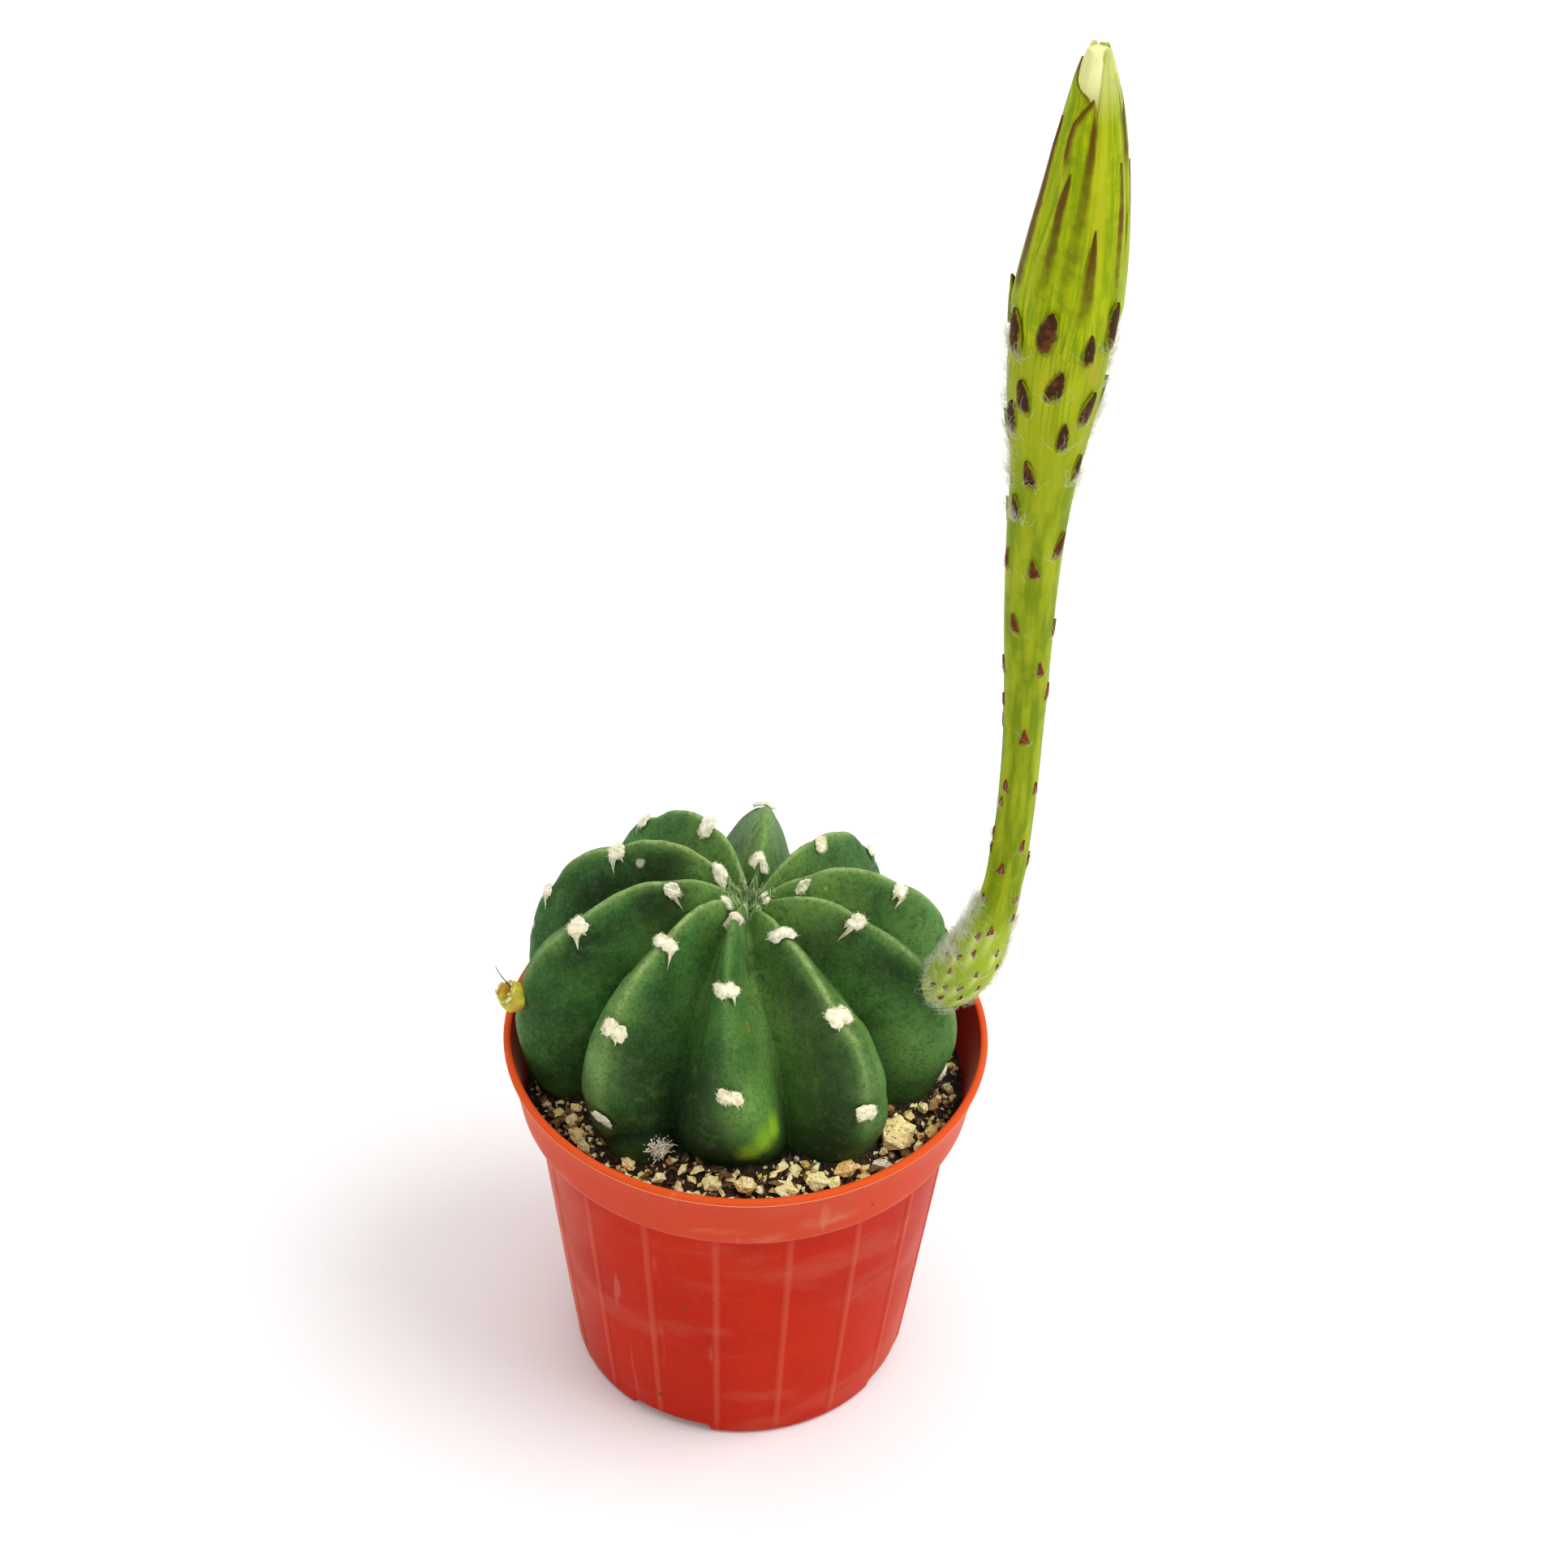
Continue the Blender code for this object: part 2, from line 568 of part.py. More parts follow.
def build_tube(material):
    start = FLOWER_AXIS_MM[0][1]
    heights = [start + (TUBE_END_UP_MM - start) * (k / (TUBE_ROWS - 1))**1.15 for k in range(TUBE_ROWS)]
    tube = add_object("flower_tube", lofted(TUBE_DIAMETER_MM, heights, TUBE_SIDES, start, TUBE_END_UP_MM), material)
    scales = []
    for up_mm, angle, length, width in scale_table():
        bm = scale_bmesh(up_mm, angle, length, width, 0.7 * MM)
        scales.append(add_object("scale", bm, material))
    combine(tube, scales, "UNION")
    cutters = [add_object("body_clearance", body_bmesh(SEAT_GAP), material)]
    cutters.append(add_object("bud_seat", bud_seat_bmesh(), material))
    combine(tube, cutters, "DIFFERENCE")
    keep_largest_piece(tube)
    return tube


def tepal_bmesh(angle, foot_mm, tip_mm, half_width, rise):
    """A long closed tepal hugging the bud: a keeled blade whose underside is sunk in the core."""
    bm = bmesh.new()
    rows = 6
    grid = []
    for k in range(rows + 1):
        share = k / rows
        up_mm = foot_mm + (tip_mm - foot_mm) * share
        radius = radius_at(BUD_DIAMETER_MM, up_mm)
        width = half_width * (1 - share**2.6) + 0.25 * MM
        half = width / max(radius, 1.2 * MM)
        turn = angle + 0.25 * share
        outer = [(turn - half, radius + rise * 0.55), (turn, radius + rise), (turn + half, radius + rise * 0.3)]
        inner = [(turn + half, radius * 0.72), (turn - half, radius * 0.72)]
        grid.append([bm.verts.new(axis_point(up_mm, a, r)) for a, r in outer + inner])
    skin_rings(bm, grid)
    bm.faces.new(grid[0])
    bm.faces.new(grid[-1])
    bmesh.ops.triangulate(bm, faces=bm.faces)
    return bm


def build_bud(material):
    heights = [131.2, 133, 136, 140, 144, 149, 153.5, 159, 164, 168, 172, 176, 179]
    bud = add_object("flower_bud", lofted(BUD_DIAMETER_MM, heights, 18, 131.0, 179.6), material)
    tepals = []
    outer_count = 7
    for k in range(outer_count):
        tip_mm = 181.0 if k in (1, 4) else 176.0 - 2.2 * (k % 3)
        tepals.append(tepal_bmesh(2 * math.pi * k / outer_count + 0.5, 139.4, tip_mm, 2.6 * MM, 0.75 * MM))
    for k in range(outer_count):
        tip_mm = 158.0 + 5.0 * (k % 3)
        tepals.append(tepal_bmesh(2 * math.pi * (k + 0.5) / outer_count + 0.5, 139.6, tip_mm, 1.5 * MM, 1.0 * MM))
    combine(bud, [add_object("tepal", bm, material) for bm in tepals], "UNION")
    keep_largest_piece(bud)
    return bud


def build_stub(material):
    """The dried foot of an old flower, a small ragged cup on its areole."""
    place, normal, down = crest_frame(STUB_RIB, STUB_AT_MM)
    side = normal.cross(down)
    heading = (normal * 0.75 + Vector((0, 0, 0.55))).normalized()
    across = side
    up = heading.cross(across).normalized()
    bm = bmesh.new()
    sides = 10
    rings = []
    for out_mm, radius_mm in ((-1.2, 2.4), (0.6, 3.0), (2.6, 2.7), (4.2, 2.2)):
        ring = []
        for k, a in enumerate(even_angles(sides)):
            ragged = 0.9 if out_mm > 4 and k % 2 else 0.0
            centre = place + heading * ((out_mm + ragged) * MM)
            ring.append(bm.verts.new(centre + (across * math.cos(a) + up * math.sin(a)) * (radius_mm * MM)))
        rings.append(ring)
    skin_rings(bm, rings)
    fan(bm, rings[0], bm.verts.new(place + heading * (-1.6 * MM)))
    fan(bm, rings[-1], bm.verts.new(place + heading * (2.6 * MM)))
    stub = add_object("old_flower_stub", bm, material)
    combine(stub, [add_object("body_clearance", body_bmesh(SEAT_GAP), material)], "DIFFERENCE")
    keep_largest_piece(stub)
    return stub


# Soil, grit and stones

def stone_bmesh(centre, size, turn, rng, swell=0.0):
    """A broken pumice stone: the hull of points scattered on an ellipsoid."""
    bm = bmesh.new()
    for k in range(15):
        height = 1 - 2 * (k + 0.5) / 15
        a = math.radians(GOLDEN_DEG) * k
        ring = math.sqrt(1 - height * height)
        reach = rng.uniform(0.82, 1.1)
        point = Vector((ring * math.cos(a) * size[0], ring * math.sin(a) * size[1], height * size[2])) * (reach / 2)
        point += point.normalized() * swell
        bm.verts.new(turn @ point + centre)
    hull = bmesh.ops.convex_hull(bm, input=list(bm.verts))
    loose = [item for item in hull["geom_interior"] if isinstance(item, bmesh.types.BMVert)]
    bmesh.ops.delete(bm, geom=loose, context="VERTS")
    return bm


def stone_places():
    rng = random.Random(SEED)
    rows = []
    for azimuth, out_mm, z_mm, size_mm in STONES_MM:
        a = math.radians(azimuth)
        centre = Vector((out_mm * math.cos(a), out_mm * math.sin(a), z_mm)) * MM
        turn = Matrix.Rotation(a + rng.uniform(-0.3, 0.3), 3, "Z") @ Matrix.Rotation(math.pi / 2, 3, "Z")
        turn = turn @ Matrix.Rotation(rng.uniform(-0.3, 0.3), 3, "X")
        rows.append((centre, Vector(size_mm) * MM, turn, rng.random()))
    return rows


def build_stones(material):
    stones = []
    for index, (centre, size, turn, shape) in enumerate(stone_places()):
        bm = stone_bmesh(centre, size, turn, random.Random(shape))
        stones.append(add_object(f"pumice_stone_{index + 1:02d}", bm, material, smooth_deg=20))
    for stone in stones:
        combine(stone, [add_object("body_clearance", body_bmesh(SEAT_GAP), material)], "DIFFERENCE")
        keep_largest_piece(stone)
    return stones


def soil_height(x, y):
    """The soil lies at the pot's inner ledge and heaps up around the plant, with soft unevenness."""
    r = math.hypot(x, y)
    rise = np.interp(r, [SOIL_HEAP_TO_R, SOIL_HEAP_FROM_R], [1.0, 0.0])
    uneven = 0.45 * math.sin(x / MM * 0.55 + 1.0) * math.cos(y / MM * 0.47) + 0.3 * math.sin((x - y) / MM * 0.9)
    return SOIL_EDGE_Z + SOIL_HEAP * rise + uneven * MM


def soil_bmesh():
    bm = bmesh.new()
    angles = even_angles(SOIL_COLUMNS)
    rings = []
    for r, z in pot_inner_profile(SEAT_GAP):
        if z < SOIL_EDGE_Z - 1.2 * MM:
            rings.append([bm.verts.new((r * math.cos(a), r * math.sin(a), z)) for a in angles])
    edge_r = SHOULDER_R - 1.4 * MM - SEAT_GAP
    for r in (edge_r, edge_r - 2.5 * MM, edge_r - 5 * MM, edge_r - 8 * MM, edge_r - 13 * MM):
        ring = []
        for a in angles:
            x, y = r * math.cos(a), r * math.sin(a)
            ring.append(bm.verts.new((x, y, max(soil_height(x, y), SOIL_EDGE_Z + 0.35 * MM))))
        rings.append(ring)
    skin_rings(bm, rings)
    fan(bm, rings[0], bm.verts.new((0, 0, FLOOR + SEAT_GAP)))
    fan(bm, rings[-1], bm.verts.new((0, 0, SOIL_EDGE_Z + SOIL_HEAP)))
    return bm


def grit_places():
    """Grit scattered by a seeded rule, kept apart from itself and from the larger stones."""
    rng = random.Random(SEED + 6)
    taken = [(row[0].x, row[0].y, max(row[1]) / 2) for row in stone_places()]
    rows = []
    for _ in range(GRIT_TRIES):
        if len(rows) == GRIT_WANTED:
            break
        size = rng.uniform(GRIT_SMALLEST, GRIT_LARGEST)
        r = math.sqrt(rng.uniform((27.5 * MM)**2, (36.6 * MM)**2))
        a = rng.uniform(-math.pi, math.pi)
        x, y = r * math.cos(a), r * math.sin(a)
        if any(math.hypot(x - ox, y - oy) < (size + other) * 0.86 for ox, oy, other in taken):
            continue
        taken.append((x, y, size))
        rows.append((Vector((x, y, soil_height(x, y) + size * 0.15)), size, rng.random()))
    return rows


def pot_space(material):
    """The room inside the pot, a gap away from its wall, open upwards."""
    profile = pot_inner_profile(SEAT_GAP)
    top = (POT_RIM_R - LIP_WIDTH - SEAT_GAP - 0.5 * MM, POT_HEIGHT + 8 * MM)
    outline = [(0, profile[0][1] - 0.0005 * MM)] + profile + [top, (0, top[1])]
    return add_object("pot_space", revolve(outline, even_angles(SOIL_COLUMNS)), material)


def build_soil(material):
    soil = add_object("soil", soil_bmesh(), material)
    grains = []
    for centre, size, shape in grit_places():
        rng = random.Random(shape)
        bm = bmesh.new()
        bmesh.ops.create_icosphere(bm, subdivisions=1, radius=size)
        for vert in bm.verts:
            vert.co *= rng.uniform(0.75, 1.1)
            vert.co += centre
        grains.append(add_object("grit", bm, material))
    combine(soil, grains, "UNION")
    combine(soil, [pot_space(material)], "INTERSECT")
    cutters = [add_object("body_clearance", body_bmesh(SEAT_GAP), material)]
    cutters += [channel_roof(azimuth, material, SEAT_GAP) for azimuth in drain_azimuths()]
    for index, rib in enumerate(RIBS):
        cutters += [areole(index, distance, material, 1.0, 1.6 * SEAT_GAP) for distance in rib[6] if distance > 50]
    for centre, size, turn, shape in stone_places():
        bm = stone_bmesh(centre, size, turn, random.Random(shape), SEAT_GAP * 1.1)
        cutters.append(add_object("stone_print", bm, material))
    combine(soil, cutters, "DIFFERENCE")
    keep_largest_piece(soil)
    return soil


def main():
    clear_scene()
    plastic = make_material("pot_plastic", (0.60, 0.06, 0.03), 0.45)
    skin = make_material("cactus_skin", (0.03, 0.09, 0.03), 0.5)
    peat = make_material("peat_soil", (0.05, 0.03, 0.02), 0.95)
    pumice = make_material("pumice", (0.62, 0.50, 0.30), 0.95)
    petal = make_material("flower_green", (0.36, 0.44, 0.05), 0.55)
    dry = make_material("dry_calyx", (0.62, 0.52, 0.08), 0.6)
    build_pot(plastic)
    build_body(skin)
    build_soil(peat)
    build_stones(pumice)
    build_tube(petal)
    build_bud(petal)
    build_stub(dry)


main()
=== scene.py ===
# %% [markdown]
# # A potted domino cactus
#
# A small round cactus with ten ribs sits in a thin orange-red nursery pot of peat and pumice grit. It
# carries one tall woolly flower stem with a closed bud. The solid model is already built, in metres. Here
# each solid gets the surface that the eye sees: skin, wool, scales, petals, grit and moulded plastic.

import json
import math
import random

import bmesh
import bpy
import numpy as np
from mathutils import Matrix, Vector, noise
from mathutils.bvhtree import BVHTree

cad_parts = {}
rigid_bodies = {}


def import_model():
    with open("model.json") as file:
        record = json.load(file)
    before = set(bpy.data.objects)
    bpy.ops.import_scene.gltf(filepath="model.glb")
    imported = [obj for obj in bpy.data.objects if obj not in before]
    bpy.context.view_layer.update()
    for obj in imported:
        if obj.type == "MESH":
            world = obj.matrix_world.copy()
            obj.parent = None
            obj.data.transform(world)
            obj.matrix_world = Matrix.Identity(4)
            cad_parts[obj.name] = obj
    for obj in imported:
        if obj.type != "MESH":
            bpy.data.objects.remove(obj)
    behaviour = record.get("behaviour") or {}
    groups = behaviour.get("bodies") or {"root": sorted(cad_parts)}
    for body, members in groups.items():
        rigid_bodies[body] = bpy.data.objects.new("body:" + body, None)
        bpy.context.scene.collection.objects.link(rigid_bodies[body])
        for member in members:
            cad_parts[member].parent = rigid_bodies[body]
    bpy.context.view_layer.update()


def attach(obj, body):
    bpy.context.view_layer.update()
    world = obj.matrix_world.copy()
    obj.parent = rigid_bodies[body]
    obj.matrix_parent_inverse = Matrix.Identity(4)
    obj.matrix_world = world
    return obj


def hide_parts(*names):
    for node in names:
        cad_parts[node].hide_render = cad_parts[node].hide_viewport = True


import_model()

# %% [markdown]
# The real objects are measured in millimetres, while Blender works in metres. So every shape below is
# worked out in millimetres with numpy, and turned to metres once, when its mesh is made. A mesh can also
# carry one number per point, called an attribute. A material can read it, so a formula that knows where a
# rib's crest is can also paint that crest.

# %% Making a mesh from points, faces and attributes
MM = 0.001


def make_piece(name, points, faces, finish, stands_for=(), slot=None, smooth_deg=180.0, layers=None):
    """Turns points in mm and faces into an object that rides on the plant's one body."""
    mesh = bpy.data.meshes.new(name)
    mesh.from_pydata((np.asarray(points, dtype=float).reshape(-1, 3) * MM).tolist(), [], faces)
    for layer, values in (layers or {}).items():
        attribute = mesh.attributes.new(layer, "FLOAT", "POINT")
        attribute.data.foreach_set("value", np.asarray(values, dtype=np.float32).ravel())
    mesh.materials.append(finish.material)
    mesh.shade_smooth()
    if smooth_deg < 180:
        mesh.set_sharp_from_angle(angle=math.radians(smooth_deg))
    piece = bpy.data.objects.new(name, mesh)
    bpy.context.scene.collection.objects.link(piece)
    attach(piece, "root")
    if stands_for:
        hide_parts(*stands_for)
    print(f"{name}: {len(mesh.vertices)} points, {len(mesh.polygons)} faces")
    return piece


def grid_faces(rows, columns, closed=True, start=0, flip=False):
    """Quads of a grid of points stored row by row. A closed grid joins its last column to its first."""
    r, c = np.meshgrid(np.arange(rows - 1), np.arange(columns if closed else columns - 1), indexing="ij")
    n = (c + 1) % columns
    row, next_row = r * columns, (r + 1) * columns
    quads = np.stack([row + c, row + n, next_row + n, next_row + c], axis=-1).reshape(-1, 4) + start
    return (quads[:, ::-1] if flip else quads).tolist()


def tube_faces(rows, columns, flip=False):
    """A closed grid whose end rings are fanned in to two end points, which are stored after the grid."""
    faces = grid_faces(rows, columns, flip=flip)
    count = rows * columns
    for ring, centre, turned in ((0, count, not flip), (count - columns, count + 1, flip)):
        for k in range(columns):
            pair = (ring + k, ring + (k + 1) % columns)
            faces.append((*(pair[::-1] if turned else pair), centre))
    return faces


def with_ends(values, first=0, last=0):
    """The numbers of a grid's points in one row, and those of its two end points after them."""
    return np.append(np.ravel(values), [first, last])


class Heap:
    """Gathers many small shapes, with their attributes, into one mesh."""

    def __init__(self):
        self.points = []
        self.faces = []
        self.layers = {}
        self.count = 0

    def add(self, points, faces, **layers):
        points = np.asarray(points, dtype=float).reshape(-1, 3)
        self.points.append(points)
        self.faces.extend([tuple(index + self.count for index in face) for face in faces])
        for layer, values in layers.items():
            spread = np.broadcast_to(np.asarray(values, dtype=float).ravel(), (len(points),))
            self.layers.setdefault(layer, []).append(spread)
        self.count += len(points)

    def piece(self, name, finish, **options):
        layers = {layer: np.concatenate(parts) for layer, parts in self.layers.items()}
        return make_piece(name, np.concatenate(self.points), self.faces, finish, layers=layers, **options)


print("one millimetre is", MM, "of Blender's units")

# %% [markdown]
# Blender's shader nodes do sums with Math nodes, which are slow to read when they are written out one by
# one. The small class below wraps a socket, so that `1 - mask * 0.4` in Python adds those Math nodes by
# itself. Every other node, such as a noise, a ramp or a colour mix, comes from one method. A surface is
# then painted as a model maker would do it: a base colour first, and then coat upon coat, each through a
# mask that says where it goes.

# %% A socket that does sums, and a finish that adds nodes
class Wire:
    """A node's output. Python's operators on it add Math nodes."""

    def __init__(self, finish, socket):
        self.finish = finish
        self.socket = socket

    def sum_node(self, operation, first, second):
        return self.finish.node("ShaderNodeMath", {"operation": operation}, {0: first, 1: second})

    def __add__(self, other):
        return self.sum_node("ADD", self, other)

    def __radd__(self, other):
        return self.sum_node("ADD", other, self)

    def __sub__(self, other):
        return self.sum_node("SUBTRACT", self, other)

    def __rsub__(self, other):
        return self.sum_node("SUBTRACT", other, self)

    def __mul__(self, other):
        return self.sum_node("MULTIPLY", self, other)

    def __rmul__(self, other):
        return self.sum_node("MULTIPLY", other, self)

    def clipped(self):
        """The same number, held between 0 and 1."""
        return self.finish.node("ShaderNodeClamp", {}, {0: self})

    def step(self, low, high):
        """0 below low, 1 above high, and a smooth rise between. It falls instead where low is the larger."""
        sockets = {"Value": self, "From Min": low, "From Max": high}
        return self.finish.node("ShaderNodeMapRange", {"interpolation_type": "SMOOTHSTEP"}, sockets)


class Finish:
    """One material: a Principled BSDF, and one method that adds any node to its tree."""

    def __init__(self, name, roughness=0.6, **numbers):
        self.material = bpy.data.materials.new(name)
        self.material.use_nodes = True
        self.tree = self.material.node_tree
        self.shader = self.tree.nodes["Principled BSDF"]
        self.shader.inputs["Roughness"].default_value = roughness
        for socket, value in numbers.items():
            self.shader.inputs[socket.replace("_", " ").title().replace("Ior", "IOR")].default_value = value

    def node(self, kind, settings=None, sockets=None, out=0):
        """Adds a node: first its settings, then values or wires on its sockets. Gives one of its outputs."""
        made = self.tree.nodes.new(kind)
        for name, value in (settings or {}).items():
            if name == "stops":
                while len(made.color_ramp.elements) < len(value):
                    made.color_ramp.elements.new(0.5)
                for stop, (place, colour) in zip(made.color_ramp.elements, value):
                    stop.position = place
                    stop.color = (*colour, 1.0)
            else:
                setattr(made, name, value)
        for name, value in (sockets or {}).items():
            if isinstance(value, Wire):
                self.tree.links.new(value.socket, made.inputs[name])
            else:
                made.inputs[name].default_value = value
        return Wire(self, made.outputs[out])

    def where(self):
        """The place on the object, in metres."""
        return self.node("ShaderNodeTexCoord", out=3)

    def grain(self, scale, detail=4.0, rough=0.55, place=None):
        """Soft cloudy noise, with features of about 1/scale metres."""
        sockets = {"Vector": place or self.where(), "Scale": scale, "Detail": detail, "Roughness": rough}
        return self.node("ShaderNodeTexNoise", {}, sockets)

    def stretched(self, x, y, z, scale=1.0, detail=3.0, rough=0.55):
        """Noise read at a place made of three numbers, so it can be drawn out along one of them."""
        return self.grain(scale, detail, rough, self.node("ShaderNodeCombineXYZ", {}, {0: x, 1: y, 2: z}))

    def layer(self, name):
        """A number stored on the mesh's points."""
        return self.node("ShaderNodeAttribute", {"attribute_name": name}, out=2)

    def ramp(self, value, *stops):
        return self.node("ShaderNodeValToRGB", {"stops": stops}, {0: value})

    def mix(self, share, first, second):
        """Colour mix. A plain colour may be given as three numbers."""
        colours = [value if isinstance(value, Wire) else (*value, 1.0) for value in (first, second)]
        sockets = {0: share, 6: colours[0], 7: colours[1]}
        return self.node("ShaderNodeMix", {"data_type": "RGBA"}, sockets, out=2)

    def coats(self, colour, *rows):
        """Lays colours over the first one in turn. Each row holds a mask and the colour that goes on."""
        for share, coat in rows:
            colour = self.mix(share, colour, coat)
        return colour

    def paint(self, colour, roughness=None, height=None, depth_mm=0.1, strength=1.0):
        """Links the colour, and if given the roughness and the relief."""
        self.tree.links.new(colour.socket, self.shader.inputs["Base Color"])
        if roughness is not None:
            self.tree.links.new(roughness.socket, self.shader.inputs["Roughness"])
        if height is not None:
            sockets = {"Strength": strength, "Distance": depth_mm * MM, "Height": height}
            bump = self.node("ShaderNodeBump", {}, sockets)
            self.tree.links.new(bump.socket, self.shader.inputs["Normal"])
        print(f"{self.material.name}: {len(self.tree.nodes)} nodes")


# %% [markdown]
# The photograph looks down at the pot by about 39 degrees, from 0.6 m away, and the camera was held a
# little askew. A camera's own X axis points right in the picture, Y up, and Z backwards. So instead of
# turning it by angles, its matrix is filled with those three directions.

# %% Camera
LOOK_DOWN = math.radians(39.44)
ASKEW = math.radians(1.83)
AIM = Vector((5.2, 0.0, 128.3)) * MM
DISTANCE = 606.4 * MM
SENSOR_MM = 36.0
LENS_PER_SENSOR = 4500.0 / 1931.0
NEAREST_SEEN = 10.0 * MM

back = Vector((0, -math.cos(LOOK_DOWN), math.sin(LOOK_DOWN)))
level_right = Vector((1, 0, 0))
level_up = Vector((0, math.sin(LOOK_DOWN), math.cos(LOOK_DOWN)))
right = math.cos(ASKEW) * level_right + math.sin(ASKEW) * level_up
up = -math.sin(ASKEW) * level_right + math.cos(ASKEW) * level_up

camera_data = bpy.data.cameras.new("camera")
camera_data.sensor_fit = "HORIZONTAL"
camera_data.sensor_width = SENSOR_MM
camera_data.lens = SENSOR_MM * LENS_PER_SENSOR
camera_data.clip_start = NEAREST_SEEN
camera = bpy.data.objects.new("camera", camera_data)
facing = Matrix((right, up, back)).transposed().to_4x4()
camera.matrix_world = Matrix.Translation(AIM + back * DISTANCE) @ facing
scene = bpy.context.scene
scene.collection.objects.link(camera)
scene.camera = camera
print("lens in mm:", round(camera_data.lens, 1))

# %% [markdown]
# A pale studio, much like a light tent: a wide floor, and a soft sky that is brightest overhead and at the
# back and dimmer on the camera's side, since the crowns of the ribs are pale while the flanks that face the
# camera are deep green. One soft lamp, high on the right, lights the flower's right side. It is a distant
# sun lamp with a wide angle, so the floor stays evenly bright.

# %% Sky and lamp
SKY_LEVEL = 0.73
# How much brighter the sky gets towards the right, the back and overhead
SKY_TOWARD = (0.0, 0.22, 0.30)
LAMP_PLACE = Vector((560, -110, 860)) * MM
LAMP_AIM = Vector((0, 0, 90)) * MM
LAMP_ENERGY = 1.5
LAMP_WIDTH = math.radians(40)

scene.view_settings.view_transform = "Standard"
scene.view_settings.look = "None"
world = bpy.data.worlds.new("sky")
world.use_nodes = True
sky_nodes, sky_links = world.node_tree.nodes, world.node_tree.links
sky = sky_nodes["Background"]
sky.inputs[0].default_value = (1.0, 1.0, 1.0, 1.0)
direction = sky_nodes.new("ShaderNodeTexCoord")
brighter = sky_nodes.new("ShaderNodeVectorMath")
brighter.operation = "DOT_PRODUCT"
brighter.inputs[1].default_value = SKY_TOWARD
sky_light = sky_nodes.new("ShaderNodeMath")
sky_light.inputs[1].default_value = SKY_LEVEL
sky_links.new(direction.outputs["Generated"], brighter.inputs[0])
sky_links.new(brighter.outputs["Value"], sky_light.inputs[0])
sky_links.new(sky_light.outputs[0], sky.inputs[1])
scene.world = world

lamp_data = bpy.data.lights.new("key", "SUN")
lamp_data.energy = LAMP_ENERGY
lamp_data.angle = LAMP_WIDTH
lamp = bpy.data.objects.new("key", lamp_data)
lamp.location = LAMP_PLACE
lamp.rotation_euler = (LAMP_AIM - LAMP_PLACE).to_track_quat("-Z", "Y").to_euler()
scene.collection.objects.link(lamp)
print("lamp's energy:", lamp_data.energy)

# %% Floor
FLOOR_REACH = 4.0
FLOOR_DROP = -0.0002

floor_finish = Finish("pale_floor", roughness=0.9)
floor_finish.paint(floor_finish.mix(floor_finish.grain(3.0), (0.93, 0.93, 0.93), (0.95, 0.95, 0.95)))
floor_mesh = bpy.data.meshes.new("floor")
corners = [(x * FLOOR_REACH, y * FLOOR_REACH, FLOOR_DROP) for x, y in ((-1, -1), (1, -1), (1, 1), (-1, 1))]
floor_mesh.from_pydata(corners, [], [(0, 1, 2, 3)])
floor_mesh.materials.append(floor_finish.material)
floor = bpy.data.objects.new("floor", floor_mesh)
scene.collection.objects.link(floor)

# %% [markdown]
# ## The body
#
# A rib's crest and the groove beside it each run from the crown down to the soil along their own curve.
# Between them the skin swells from groove to crest in a rounded wave. Two curves, one wave and ten azimuths
# give the whole plant, so a sculpted mesh isn't needed, and the wool and the flower can ask the same
# formula for their place.

# %% Curves through points
def through(points, t):
    """Smooth curve through the points, read at any number of places t from 0 to 1."""
    points = np.asarray(points, dtype=float)
    last = len(points) - 1
    x = np.clip(np.asarray(t, dtype=float) * last, 0.0, last - 1e-9)
    i = x.astype(int)
    f = (x - i)[..., None]
    padded = np.vstack([2 * points[0] - points[1], points, 2 * points[-1] - points[-2]])
    a, b, c, d = padded[i], padded[i + 1], padded[i + 2], padded[i + 3]
    return 0.5 * (2 * b + (c - a) * f + (2 * a - 5 * b + 4 * c - d) * f**2 + (3 * b - a - 3 * c + d) * f**3)


def unit(vectors):
    return vectors / np.maximum(np.linalg.norm(vectors, axis=-1, keepdims=True), 1e-12)


def read_table(table, place):
    """Reads a table of places and values, with straight lines between its rows."""
    return np.interp(place, *np.transpose(table))


def polar(r, a, z):
    """Points from a distance and an angle in radians round the upright axis, and a height."""
    r, a, z = np.broadcast_arrays(r, a, z)
    return np.stack([r * np.cos(a), r * np.sin(a), z], axis=-1)


def full_turn(count):
    """Angles in degrees, evenly spaced round a full turn, as one row of a grid."""
    return (np.arange(count) * 360.0 / count)[None]


print("middle of a test curve:", through([(0, 0), (1, 2), (2, 0)], 0.5))

# %% The ribbed skin as a formula
CREST = [
    (0, 97.7), (3.6, 100.8), (8.5, 103.6), (14, 104.6), (20, 103.4), (26.1, 100), (31.4, 95.7),
    (35.3, 90.8), (37.6, 85.5), (38.4, 80), (37.9, 74.8), (36.2, 70), (34.2, 65), (30.5, 60),
]
GROOVE = [
    (0, 97.1), (2.8, 97.7), (6.3, 97.7), (10.3, 96.9), (14.3, 95), (18.4, 92), (22.2, 88.3), (25.3, 84.1),
    (27.7, 79.4), (29.2, 74.6), (29.8, 69.9), (29.4, 65.5), (28.3, 62), (26, 58.5),
]
